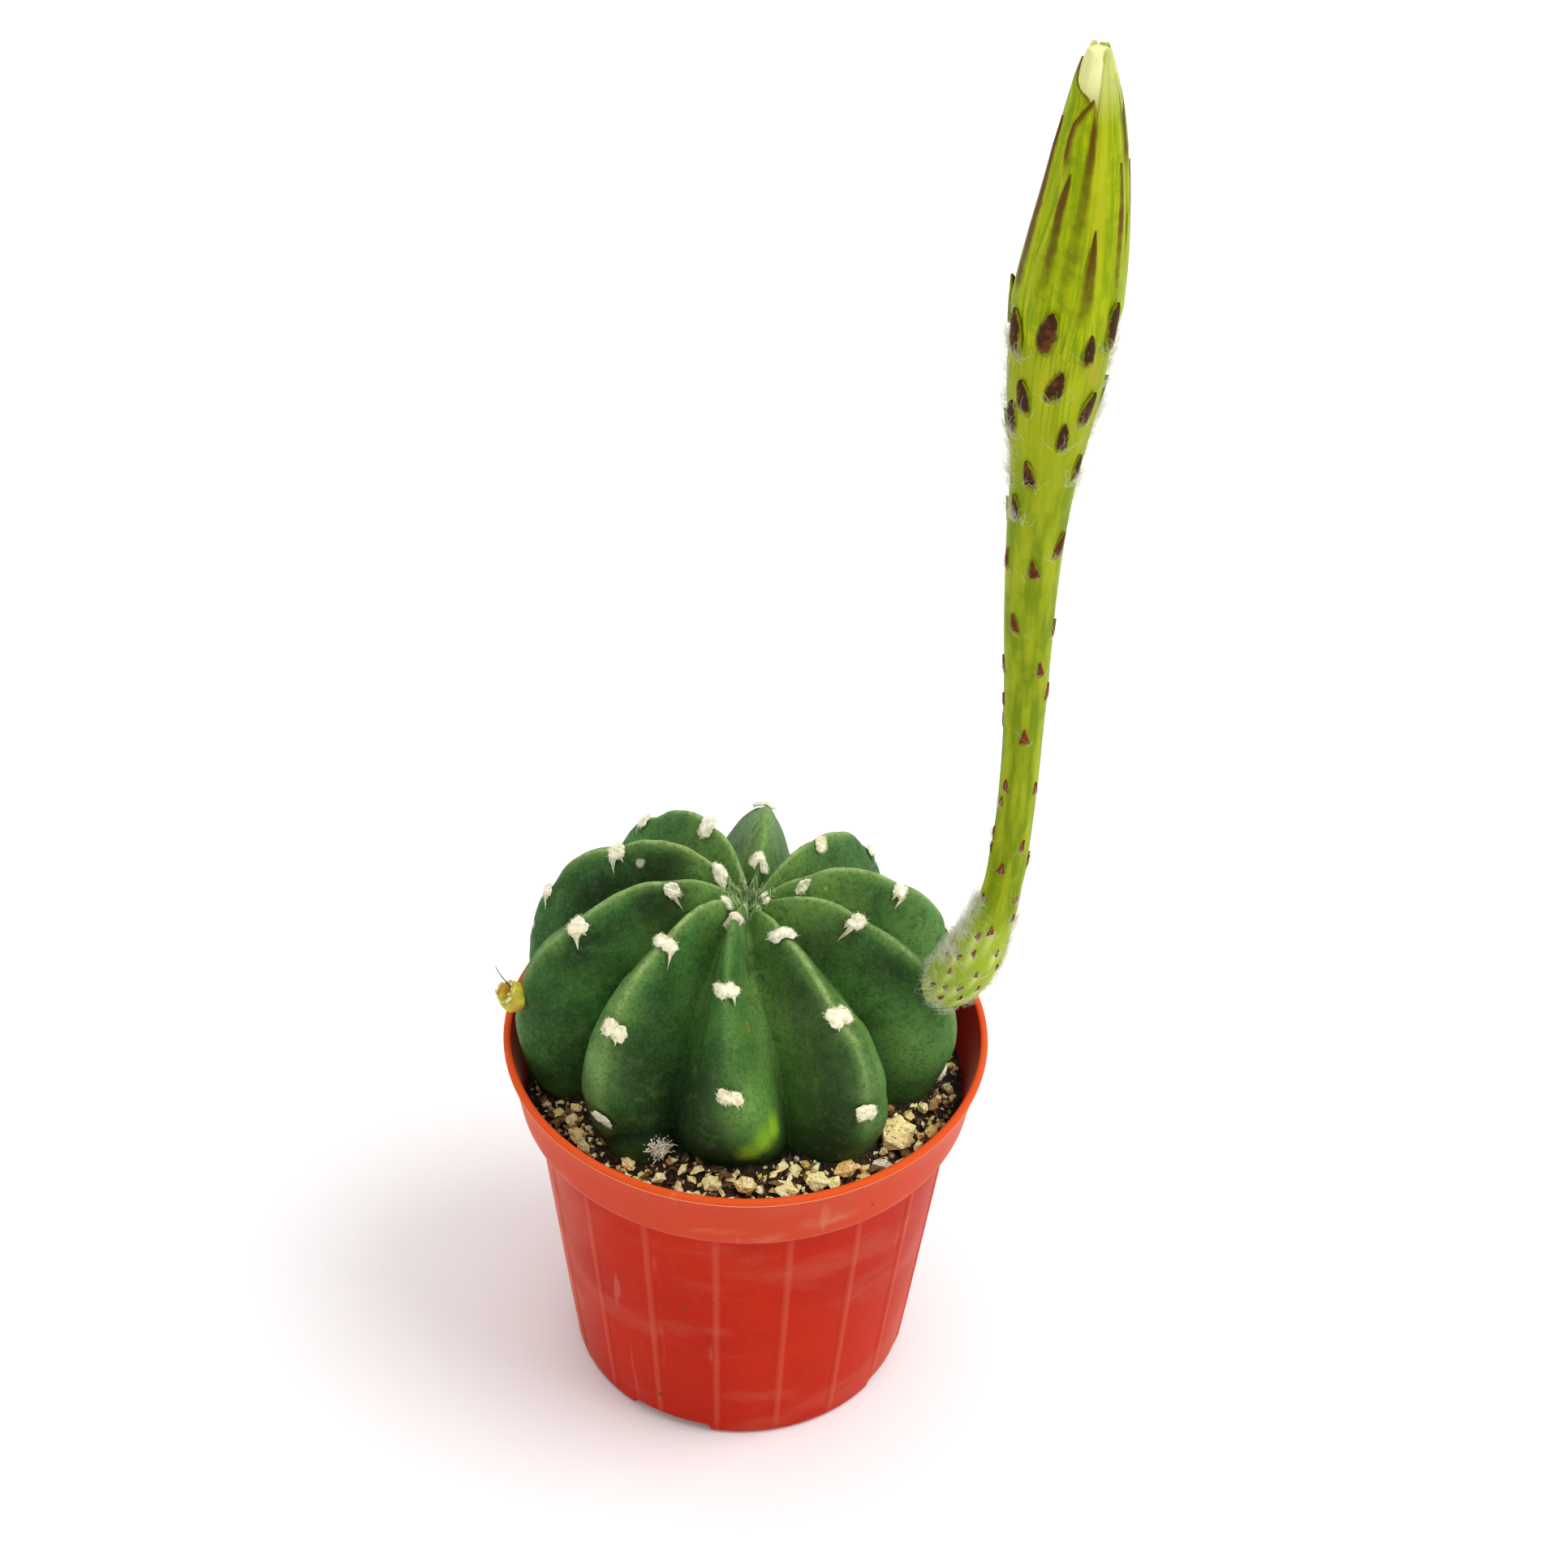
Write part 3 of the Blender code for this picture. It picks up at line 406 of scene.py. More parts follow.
# Azimuth at crown, shoulder and foot in degrees, reach, lift in mm, tuck at the foot
RIBS = np.array([
    (-108, -94.5, -87, 0.995, 0.6, 0.08), (-69, -55, -54, 1.02, -1.2, -0.02),
    (-24, -18, -14.5, 1.02, 0.5, -0.02), (14.5, 16.5, 15, 1, 0.1, -0.03), (50, 53, 56.5, 0.975, -1.4, 0),
    (81, 86.5, 86, 0.97, -1.2, 0.06), (115.5, 125.5, 126, 0.96, -0.3, 0.06),
    (157.5, 160.5, 168.5, 1, 1.2, -0.04), (188, 195, 196.5, 1.04, 0.3, -0.06),
    (224, 228.5, 233, 0.97, -0.1, -0.03),
])
RIB_COUNT = len(RIBS)
# How round each rib is near the crown: 1 is a round ridge, 0 a sharp fin
ROUND_TOP = np.array([1.0, 0.6, 0.15, 0.1, 0.3, 1.0, 0.4, 0.25, 0.15, 0.5])
GROOVE_SHARE = np.array([0.42, 0.5, 0.5, 0.5, 0.5, 0.5, 0.5, 0.5, 0.5, 0.6])
BODY_CENTRE = np.array([-2.15, 4.5, 66.0])


def rib_azimuth(rib, t):
    """A crest turns from its azimuth at the crown to that at the shoulder, and on to that at the foot."""
    row = RIBS[rib % RIB_COUNT]
    first = np.clip((t - 0.12) / 0.36, 0, 1)
    second = np.clip((t - 0.48) / 0.37, 0, 1)
    return row[..., 0] + (row[..., 1] - row[..., 0]) * first + (row[..., 2] - row[..., 1]) * second


def lean(points):
    """The plant leans 4 degrees to the right and 1 degree forward in its pot."""
    turn = Matrix.Rotation(math.radians(1.0), 3, "X") @ Matrix.Rotation(math.radians(4.0), 3, "Y")
    return (points - np.array([0, 0, BODY_CENTRE[2]])) @ np.array(turn).T + BODY_CENTRE


def skin(column, t):
    """Points of the skin. column counts ribs round the plant: whole on a crest, half-way in a groove."""
    column, t = np.broadcast_arrays(np.mod(np.asarray(column, float), RIB_COUNT), np.asarray(t, float))
    gap = np.minimum(column.astype(int), RIB_COUNT - 1)
    v = column - gap
    azimuth_a = rib_azimuth(gap, t)
    azimuth_b = rib_azimuth(gap + 1, t) + np.where(gap == RIB_COUNT - 1, 360.0, 0.0)
    groove_at = 0.5 + (GROOVE_SHARE[gap] - 0.5) * np.interp(t, [0.1, 0.35, 0.7], [1, 1, 0])
    near = v < 0.5
    nearest = np.where(near, gap, gap + 1) % RIB_COUNT
    rib = RIBS[nearest]
    turn = np.where(near, groove_at * 2 * v, 1 - (1 - groove_at) * 2 * (1 - v))
    w = np.where(near, 2 * v, 2 * (1 - v))
    height = rib_wave(w, t, ROUND_TOP[nearest])
    crest = through(CREST, t)
    groove = through(GROOVE, t)
    tuck = rib[..., 5] * np.interp(t, [0.65, 0.75, 0.85, 0.95, 1], [0, 0.15, 0.55, 1, 1])
    lift = rib[..., 4] * np.interp(t, [0, 0.22, 0.6, 1], [0, 1, 0.7, 0])
    r = groove[..., 0] + (crest[..., 0] * rib[..., 3] * (1 - tuck) - groove[..., 0]) * height
    z = groove[..., 1] + (crest[..., 1] + lift - groove[..., 1]) * height
    return lean(polar(r, np.radians(azimuth_a + (azimuth_b - azimuth_a) * turn), z))


def rib_wave(w, t, round_top):
    """1 on the crest and 0 in the groove. The ribs are narrow at the crown and plump lower down."""
    crest_round = np.interp(t, [0, 0.3, 0.55, 0.8, 1], [0.4, 0.42, 0.5, 0.6, 0.6])
    groove_round = np.interp(t, [0, 0.3, 0.6, 1], [0.03, 0.06, 0.2, 0.3])

    def rounded(x, radius):
        return (np.hypot(x, radius) - radius) / (np.hypot(1, radius) - radius)

    from_crest = rounded(w, crest_round)
    from_groove = 1 - rounded(1 - w, groove_round)
    sharp = 1 - (from_crest * (1 - w) + from_groove * w)
    ridge = 0.5 + 0.5 * np.cos(math.pi * np.clip(w * 1.08, 0, 1))
    round_share = round_top * np.interp(t, [0.04, 0.14, 0.36, 0.5], [0.3, 1, 1, 0])
    sharp = sharp * (1 - round_share) + ridge * round_share
    late = np.where(round_top > 0.95, np.interp(t, [0.5, 0.7], [0.3, 1]), 1)
    full = np.interp(t, [0.3, 0.5, 0.75], [0.0, 0.7, 1.0]) * late
    return sharp * (1 - full) + (1 - np.clip(w, 0, 1) ** 2.2) * full


def skin_frame(column, t):
    """Point, direction round the plant, direction down the rib, and outward normal."""
    here = skin(column, t)
    side = unit(skin(np.asarray(column) + 0.01, t) - skin(np.asarray(column) - 0.01, t))
    down = unit(skin(column, np.asarray(t) + 0.003) - skin(column, np.asarray(t) - 0.003))
    return here, side, down, unit(np.cross(down, side))


print("top of the tallest crest, in mm:", np.round(skin(7.0, 0.2)[2], 1))

# %% [markdown]
# The formula alone is too perfect. Living skin has soft dents and swellings, a shallow notch under each
# areole, and a small side shoot that pushes up the skin between two ribs at the front. They are added by
# moving each point along the skin's normal: `noise.fractal` gives soft random relief that is the same on
# every run.

# %% The body's mesh
# Ribs and places, as t, of the shallow notches that the areoles sit in
AREOLE_NOTCHES = [
    (0, 0.37), (0, 0.59), (1, 0.224), (1, 0.425), (1, 0.656), (2, 0.31), (2, 0.54), (2, 0.8), (3, 0.17),
    (3, 0.4), (3, 0.62), (4, 0.29), (4, 0.49), (4, 0.7), (5, 0.14), (5, 0.44), (5, 0.64), (6, 0.26),
    (6, 0.47), (6, 0.68), (7, 0.376), (7, 0.57), (8, 0.234), (8, 0.435), (8, 0.68), (9, 0.332), (9, 0.533),
    (9, 0.8),
]
NOTCH_DEPTH, NOTCH_LENGTH, NOTCH_WIDTH_IN_RIBS = 0.75, 3.2, 0.32
CREST_LENGTH = 82.0
COLUMNS_PER_RIB, BODY_ROWS = 30, 150
BODY_COLUMNS = RIB_COUNT * COLUMNS_PER_RIB
FIRST_T, LAST_T = 0.004, 0.999
# The young shoot at the foot of the left front rib, in mm
SHOOT_PLACE, SHOOT_REACH, SHOOT_HEIGHT = np.array([-16.0, -25.5, 66.5]), 6.8, 2.0


def cloud(points, size_mm, octaves=3):
    """Soft noise between about -1 and 1 at each point."""
    return np.array([noise.fractal(Vector(point) / size_mm, 1.0, 2.0, octaves) for point in points])


def from_shoot(points):
    """Distance from the young shoot's middle, with 1 at its edge."""
    return np.linalg.norm((points - SHOOT_PLACE) * np.array([1, 1, 1.35]), axis=1) / SHOOT_REACH


column_grid, t_grid = np.meshgrid(
    np.arange(BODY_COLUMNS) / COLUMNS_PER_RIB, np.linspace(FIRST_T, LAST_T, BODY_ROWS), indexing="ij")
column_flat, t_flat = column_grid.T.ravel(), t_grid.T.ravel()
body_points, _, _, body_normals = skin_frame(column_flat, np.clip(t_flat, FIRST_T, 0.996))
relief = 0.22 * cloud(body_points, 7.0) + 0.05 * cloud(body_points, 1.6)
for rib, areole_t in AREOLE_NOTCHES:
    off_rib = np.abs((column_flat - rib + 5) % 10 - 5)
    along_mm = (t_flat - areole_t) * CREST_LENGTH
    across_share = np.clip(1 - off_rib / NOTCH_WIDTH_IN_RIBS, 0, 1)
    relief -= NOTCH_DEPTH * np.exp(-(along_mm / NOTCH_LENGTH) ** 2) * across_share
body_points = body_points + body_normals * (relief * np.interp(t_flat, [0, 0.15], [0.3, 1]))[:, None]
shoot_rise = SHOOT_HEIGHT * np.clip(1 - from_shoot(body_points) ** 6.0, 0, 1) ** 0.5
body_points += body_normals * shoot_rise[:, None]

# How far each point is from the nearest crest line, in mm round the plant
ring_steps = body_points.reshape(BODY_ROWS, BODY_COLUMNS, 3)
ring_steps = np.linalg.norm(np.roll(ring_steps, -1, axis=1) - ring_steps, axis=2)
ring_steps = ring_steps.reshape(BODY_ROWS, RIB_COUNT, COLUMNS_PER_RIB)
from_left = np.cumsum(ring_steps, axis=2) - ring_steps
crest_layer = np.minimum(from_left, ring_steps.sum(axis=2, keepdims=True) - from_left).ravel()
body_faces = tube_faces(BODY_ROWS, BODY_COLUMNS, flip=True)
body_points = np.vstack([body_points, skin(0.0, 0.0)[None], lean(np.array([[0.0, 0.0, 55.0]]))])
body_tree = BVHTree.FromPolygons([Vector(p) for p in body_points], body_faces)
print("deepest and highest relief, in mm:", np.round([relief.min(), relief.max()], 2))

# %% [markdown]
# Domino cactus skin is a deep, slightly greyed green. Fine pale, dark and reddish specks cover it, so it
# looks rough and matt. A thin pale line, partly painted highlight, runs along the crests, with a soft
# painted highlight beside it. Pale patches of painted light lie on many ribs, most near the crown and on
# the back ribs and on the right flanks of the front ribs, and painted shade darkens the flanks that face
# the camera. The specks are fine noise pushed through steep ramps, and slower noise makes the cloudy
# patches. One tender yellow-green spot shows at the foot of the front rib, and a painted shadow runs round
# the young shoot beside it.

# %% Flecks on the skin
PALE, RUSTY, YELLOW = (0.62, 0.62, 0.36), (0.42, 0.17, 0.03), (0.40, 0.46, 0.12)
FLECKS = [
    ((-19.1, 9, 102.2), 0.85, PALE), ((-18.8, 8.4, 103), 0.7, PALE), ((-37.6, 12.3, 84.4), 0.9, PALE),
    ((0.4, -22.2, 94.3), 0.5, RUSTY), ((0.8, -22.8, 93.6), 0.35, RUSTY), ((-20.6, -4.3, 98), 0.3, YELLOW),
    ((13, 5.5, 100.8), 0.35, YELLOW), ((24, -11, 78.9), 0.35, YELLOW), ((-21, -12, 99.5), 0.5, YELLOW),
    ((9.5, -18, 92), 0.25, PALE), ((-31, -6, 92), 0.3, PALE), ((20, 20, 95), 0.6, PALE),
    ((-12, 30, 92), 0.6, PALE), ((36, 18, 80), 0.5, RUSTY),
]

print("flecks on the skin:", len(FLECKS))

# %% The skin's finish
skin_finish = Finish("cactus_skin", roughness=0.55, specular_ior_level=0.12)
slow = skin_finish.grain(60.0, 4.0, 0.6)
blotch = skin_finish.grain(170.0, 4.0, 0.65)
mottle = skin_finish.grain(560.0, 4.0, 0.7)
fine = skin_finish.grain(1500.0, 3.0, 0.7)
# Painted shade, and the strength of the crests' painted highlight, both stored on the mesh
deep = skin_finish.layer("deep")
shine = skin_finish.layer("shine")
crest = skin_finish.layer("from_crest")
# The crests: a soft painted highlight, and a thin broken pale line on it that is partly painted highlight
painted_crest_highlight = crest.step(2.6, 0.0) * shine * (0.05 + 1.3 * blotch)
broken = skin_finish.grain(420.0, 3.0, 0.6).step(0.36, 0.6)
crest_line_and_highlight = crest.step(0.9, 0.1) * shine * skin_finish.layer("young") * (0.35 + 0.65 * broken)
spot = skin_finish.layer("spot") * (0.45 + 1.1 * skin_finish.grain(500.0, 3.0, 0.7))


def near_point(place_mm, radius_mm):
    """1 within a radius of a point on the plant, with a soft edge."""
    place = tuple(value * MM for value in place_mm)
    sockets = {0: skin_finish.where(), 1: place}
    far = skin_finish.node("ShaderNodeVectorMath", {"operation": "DISTANCE"}, sockets, out=1)
    return far.step(radius_mm * 1.2 * MM, radius_mm * 0.6 * MM)


green = skin_finish.coats(
    skin_finish.mix(slow.step(0.36, 0.62), (0.024, 0.102, 0.016), (0.062, 0.205, 0.036)),
    # Painted shade on the flanks, pale patches of painted light, and random clouds of dark and pale in two
    # sizes
    (deep, (0.008, 0.032, 0.007)),
    (skin_finish.layer("bloom") * 0.9, (0.180, 0.340, 0.075)),
    (blotch.step(0.47, 0.33) * 0.45, (0.014, 0.050, 0.010)),
    (blotch.step(0.52, 0.66) * 0.28, (0.105, 0.215, 0.055)),
    (mottle.step(0.49, 0.36) * 0.36, (0.010, 0.038, 0.009)),
    (mottle.step(0.52, 0.66) * (0.30 - 0.2 * deep), (0.13, 0.27, 0.065)),
    # The crests: a soft wide painted highlight, a thin broken pale line on it that is partly painted
    # highlight, and painted light on the right flanks of the front ribs
    (painted_crest_highlight.clipped() * 0.85, (0.19, 0.33, 0.080)),
    ((crest_line_and_highlight * 0.88).clipped(), (0.33, 0.46, 0.15)),
    (skin_finish.layer("tender") * 0.75, (0.10, 0.24, 0.035)),
    # Bright, dark and reddish specks, the yellow-green spot, and a painted shadow in the crease round the
    # young shoot
    (skin_finish.grain(2100.0, 3.0, 0.7).step(0.47, 0.66) * (0.42 - 0.32 * deep), (0.12, 0.27, 0.070)),
    (skin_finish.grain(1700.0, 3.0, 0.7).step(0.50, 0.36) * 0.42, (0.008, 0.030, 0.007)),
    (skin_finish.grain(950.0, 4.0, 0.7).step(0.50, 0.66) * 0.28, (0.085, 0.055, 0.022)),
    (spot.step(0.15, 0.95), (0.25, 0.47, 0.02)),
    (skin_finish.layer("crease") * 0.9, (0.006, 0.014, 0.004)),
    *[(near_point(place, radius) * 0.8, colour) for place, radius, colour in FLECKS],
)
skin_finish.paint(
    green,
    roughness=0.46 + 0.25 * fine,
    height=fine * 0.7 + skin_finish.grain(350.0, 3.0) * 0.8,
    depth_mm=0.14,
    strength=0.7,
)

# %% Where the skin gets painted light and painted shade, and where its yellow-green spot is
def tone_near(places):
    """A soft change of tone around places given as rib and t, each with a radius in mm and a strength."""
    total = np.zeros(len(body_points))
    for column, t, radius, strength in places:
        near = np.linalg.norm(body_points - skin(column, t), axis=1) / radius
        total += strength * np.exp(-near**2)
    return np.clip(total, 0, 1)


def glow_near(places):
    """A soft patch of paint around given places: 1 in the middle and 0 outside."""
    total = np.zeros(len(body_points))
    for place, radius in places:
        near = np.linalg.norm((body_points - np.array(place)) * np.array([1, 1, 0.7]), axis=1) / radius
        total = np.maximum(total, np.clip(1 - near, 0, 1))
    return total


# How strongly each crest shows its pale line and its painted highlight
CREST_HIGHLIGHT = np.array([0.15, 0.9, 1.0, 1.0, 0.8, 0.2, 0.9, 1.0, 1.0, 1.0])
# Pools of painted light on the right flanks of the front ribs
FRONT_FLANK_LIGHT_PLACES = [((4.5, -29, 84), 11), ((25.5, -18, 84), 9), ((1, -24, 96), 6)]
SPOT_PLACES = [((3.4, -31.2, 76.2), 4.6), ((5, -29.2, 77.2), 4), ((1.6, -31.8, 74), 4.2)]
# Pale patches of painted light, most near the crown and on the back ribs: rib and t, radius in mm, strength
PAINTED_LIGHT_PLACES = [
    (5, 0.1, 7, 0.8), (5, 0.32, 9, 0.9), (6.05, 0.16, 7, 0.5), (2.8, 0.17, 7, 0.7), (2.7, 0.5, 8, 0.5),
    (2, 0.2, 6, 0.6), (1.68, 0.62, 7, 0.6), (1.25, 0.42, 6, 0.9), (1.15, 0.55, 6, 0.6), (0.3, 0.2, 5, 0.7),
    (0.36, 0.34, 5, 0.9), (0.45, 0.46, 6, 0.9), (0.22, 0.6, 4, 0.8), (1.2, 0.3, 5, 0.5),
    (8.85, 0.5, 5, 0.7), (9, 0.15, 5, 0.8), (9.3, 0.12, 4, 0.8), (8, 0.1, 5, 0.8), (7, 0.12, 5, 0.7),
    (8.92, 0.64, 4.5, 0.9), (8.9, 0.78, 4, 0.5), (1.12, 0.75, 5, 0.5), (6.4, 0.3, 6, 0.7),
    (8.55, 0.35, 5, 0.6), (5, 0.2, 9, 0.5), (2.72, 0.3, 6, 0.6), (0.1, 0.62, 5, 0.45), (1, 0.1, 5, 0.9),
    (2, 0.08, 5, 0.7), (0.1, 0.1, 4, 0.7), (9.5, 0.4, 4, 0.4),
]
# Places of painted shade on the flanks and in the grooves: rib and t, radius in mm, strength
PAINTED_SHADE_PLACES = [
    (0.75, 0.3, 7, 0.7), (0.8, 0.45, 9, 0.95), (0.78, 0.62, 9, 0.9), (0.7, 0.8, 8, 0.6),
    (9.75, 0.62, 8, 0.8), (9.6, 0.85, 8, 0.5), (9.25, 0.45, 7, 0.4), (9.15, 0.6, 6, 0.5),
    (9.4, 0.7, 9, 0.5), (8.1, 0.25, 6, 0.8), (8.12, 0.45, 7, 0.7), (8.12, 0.65, 7, 0.7), (8.3, 0.3, 6, 0.3),
    (7.2, 0.25, 7, 0.8), (7.3, 0.45, 7, 0.9), (7.5, 0.35, 5, 0.8), (0.82, 0.55, 6, 0.9),
    (1.75, 0.25, 8, 0.8), (1.85, 0.42, 6, 0.6), (2.9, 0.28, 6, 0.4), (2.75, 0.4, 5, 0.3),
    (3.8, 0.12, 6, 0.6), (8.5, 0.8, 9, 0.5), (8.85, 0.72, 5, 0.6), (1.7, 0.88, 9, 0.4), (0.2, 0.92, 8, 0.5),
    (1.1, 0.9, 8, 0.5), (9.9, 0.5, 6, 0.4), (9.8, 0.82, 8, 0.9), (0.1, 0.86, 6, 0.6), (9.85, 0.66, 5, 0.5),
    (6.2, 0.22, 4, 0.25), (4.1, 0.1, 5, 0.4), (0.88, 0.4, 5, 0.6),
]
print("places of pale bloom:", len(PAINTED_LIGHT_PLACES), "and of deep green:", len(PAINTED_SHADE_PLACES))

# %% The body with its layers of paint
# Painted shade on the flanks that face the camera's side, found from the normals
front_facing_shade = np.exp(-((np.degrees(np.arctan2(body_normals[:, 1], body_normals[:, 0])) + 75) / 42) ** 2)
off_crest = np.interp(crest_layer, [1.5, 4], [0, 1])
shaded_flank = np.interp(body_normals[:, 2], [0.1, 0.45, 0.8, 0.95], [0.4, 1, 0.8, 0]) * off_crest
crest_highlight_share = CREST_HIGHLIGHT[np.round(column_flat).astype(int) % RIB_COUNT]
make_piece(
    "cactus_skin_body", body_points, body_faces, skin_finish, ["cactus_body"], "cactus_skin",
    layers={
        "from_crest": with_ends(crest_layer, 0, 9),
        "shine": with_ends(crest_highlight_share * np.interp(t_flat, [0.05, 0.15, 0.5, 0.8], [0.2, 1.0, 1.0, 0.4])),
        "tender": glow_near(FRONT_FLANK_LIGHT_PLACES),
        "spot": glow_near(SPOT_PLACES),
        "bloom": tone_near(PAINTED_LIGHT_PLACES),
        "deep": np.clip(tone_near(PAINTED_SHADE_PLACES) + 0.42 * with_ends(front_facing_shade * shaded_flank), 0, 1),
        # Painted shadow: a dark ring round the young shoot
        "crease": np.exp(-((from_shoot(body_points) - 1.0) / 0.15) ** 2),
        "young": with_ends(np.interp(t_flat, [0.36, 0.6], [1.0, 0.15])),
    },
)

# %% [markdown]
# ## The wool
#
# Every areole is a cushion of short felted wool that lies over the crest like a saddle, and most have one
# to three wisps that run out over its edge. Particle hair would be lost when the model is exported, so each
# strand is a thin three-sided tube. The strands are drawn on flat paper, with x across the rib, y down it
# and h above the skin, and the paper is then wrapped on the plant, so no strand sinks in.

# %% Strands
def strand_mesh(paths, radii):
    """Thin three-sided tubes along many paths at once. paths is (strands, steps, 3)."""
    strands, steps, _ = paths.shape
    tangent = unit(np.gradient(paths, axis=1))
    across = unit(np.cross(tangent, np.array([0.31, 0.52, 0.79])))
    other = np.cross(tangent, across)
    angles = np.arange(3) * 2 * math.pi / 3
    radii = np.broadcast_to(radii, (strands, steps))[..., None, None]
    ring = across[:, :, None] * np.cos(angles)[:, None] + other[:, :, None] * np.sin(angles)[:, None]
    points = (paths[:, :, None] + ring * radii).reshape(-1, 3)
    s, k, c = np.meshgrid(np.arange(strands), np.arange(steps - 1), np.arange(3), indexing="ij")
    base = (s * steps + k) * 3
    n = (c + 1) % 3
    quads = np.stack([base + c, base + n, base + 3 + n, base + 3 + c], axis=-1).reshape(-1, 4)
    return points, quads.tolist()


def wander(rng, strands, steps, reach):
    """Smooth random wandering, zero at the root and growing along the strand."""
    phase = rng.uniform(0, 2 * math.pi, (strands, 1))
    bend = rng.uniform(-1, 1, (strands, 1))
    s = np.linspace(0, 1, steps)[None]
    return reach * s * (np.sin(phase + s * 5.0) * 0.6 + bend * s)


print("three strands have", len(strand_mesh(np.cumsum(np.ones((3, 5, 3)), axis=1), 0.1)[1]), "faces")

# %% Wrapping paper on the skin
ALONG_T = np.linspace(0, 1, 800)
ACROSS = np.linspace(-0.5, 0.5, 161)


def walked(line):
    """Distance walked from the first point of a line to each of its points."""
    return np.append(0, np.cumsum(np.linalg.norm(np.diff(line, axis=0), axis=1)))


def crest_place(rib, distance):
    """Where on a crest, as t, a distance in mm from the crown ends. Also gives the crest's length."""
    down_crest = walked(skin(np.full_like(ALONG_T, rib), ALONG_T))
    return np.interp(distance, down_crest, ALONG_T), down_crest[-1]


def wrap(rib, t0, x, y, h):
    """Paper coordinates in mm, around an areole, to points on the plant."""
    _, length = crest_place(rib, 0)
    t = np.clip(t0 + y / length, 0.002, 0.995)
    over_rib = walked(skin(rib + ACROSS, np.full_like(ACROSS, t0)))
    over_rib -= over_rib[len(ACROSS) // 2]
    here, _, _, normal = skin_frame(rib + np.interp(x, over_rib, ACROSS), t)
    return here + normal * h[..., None]


print("length of the front crest, in mm:", round(crest_place(0, 0)[1], 1))

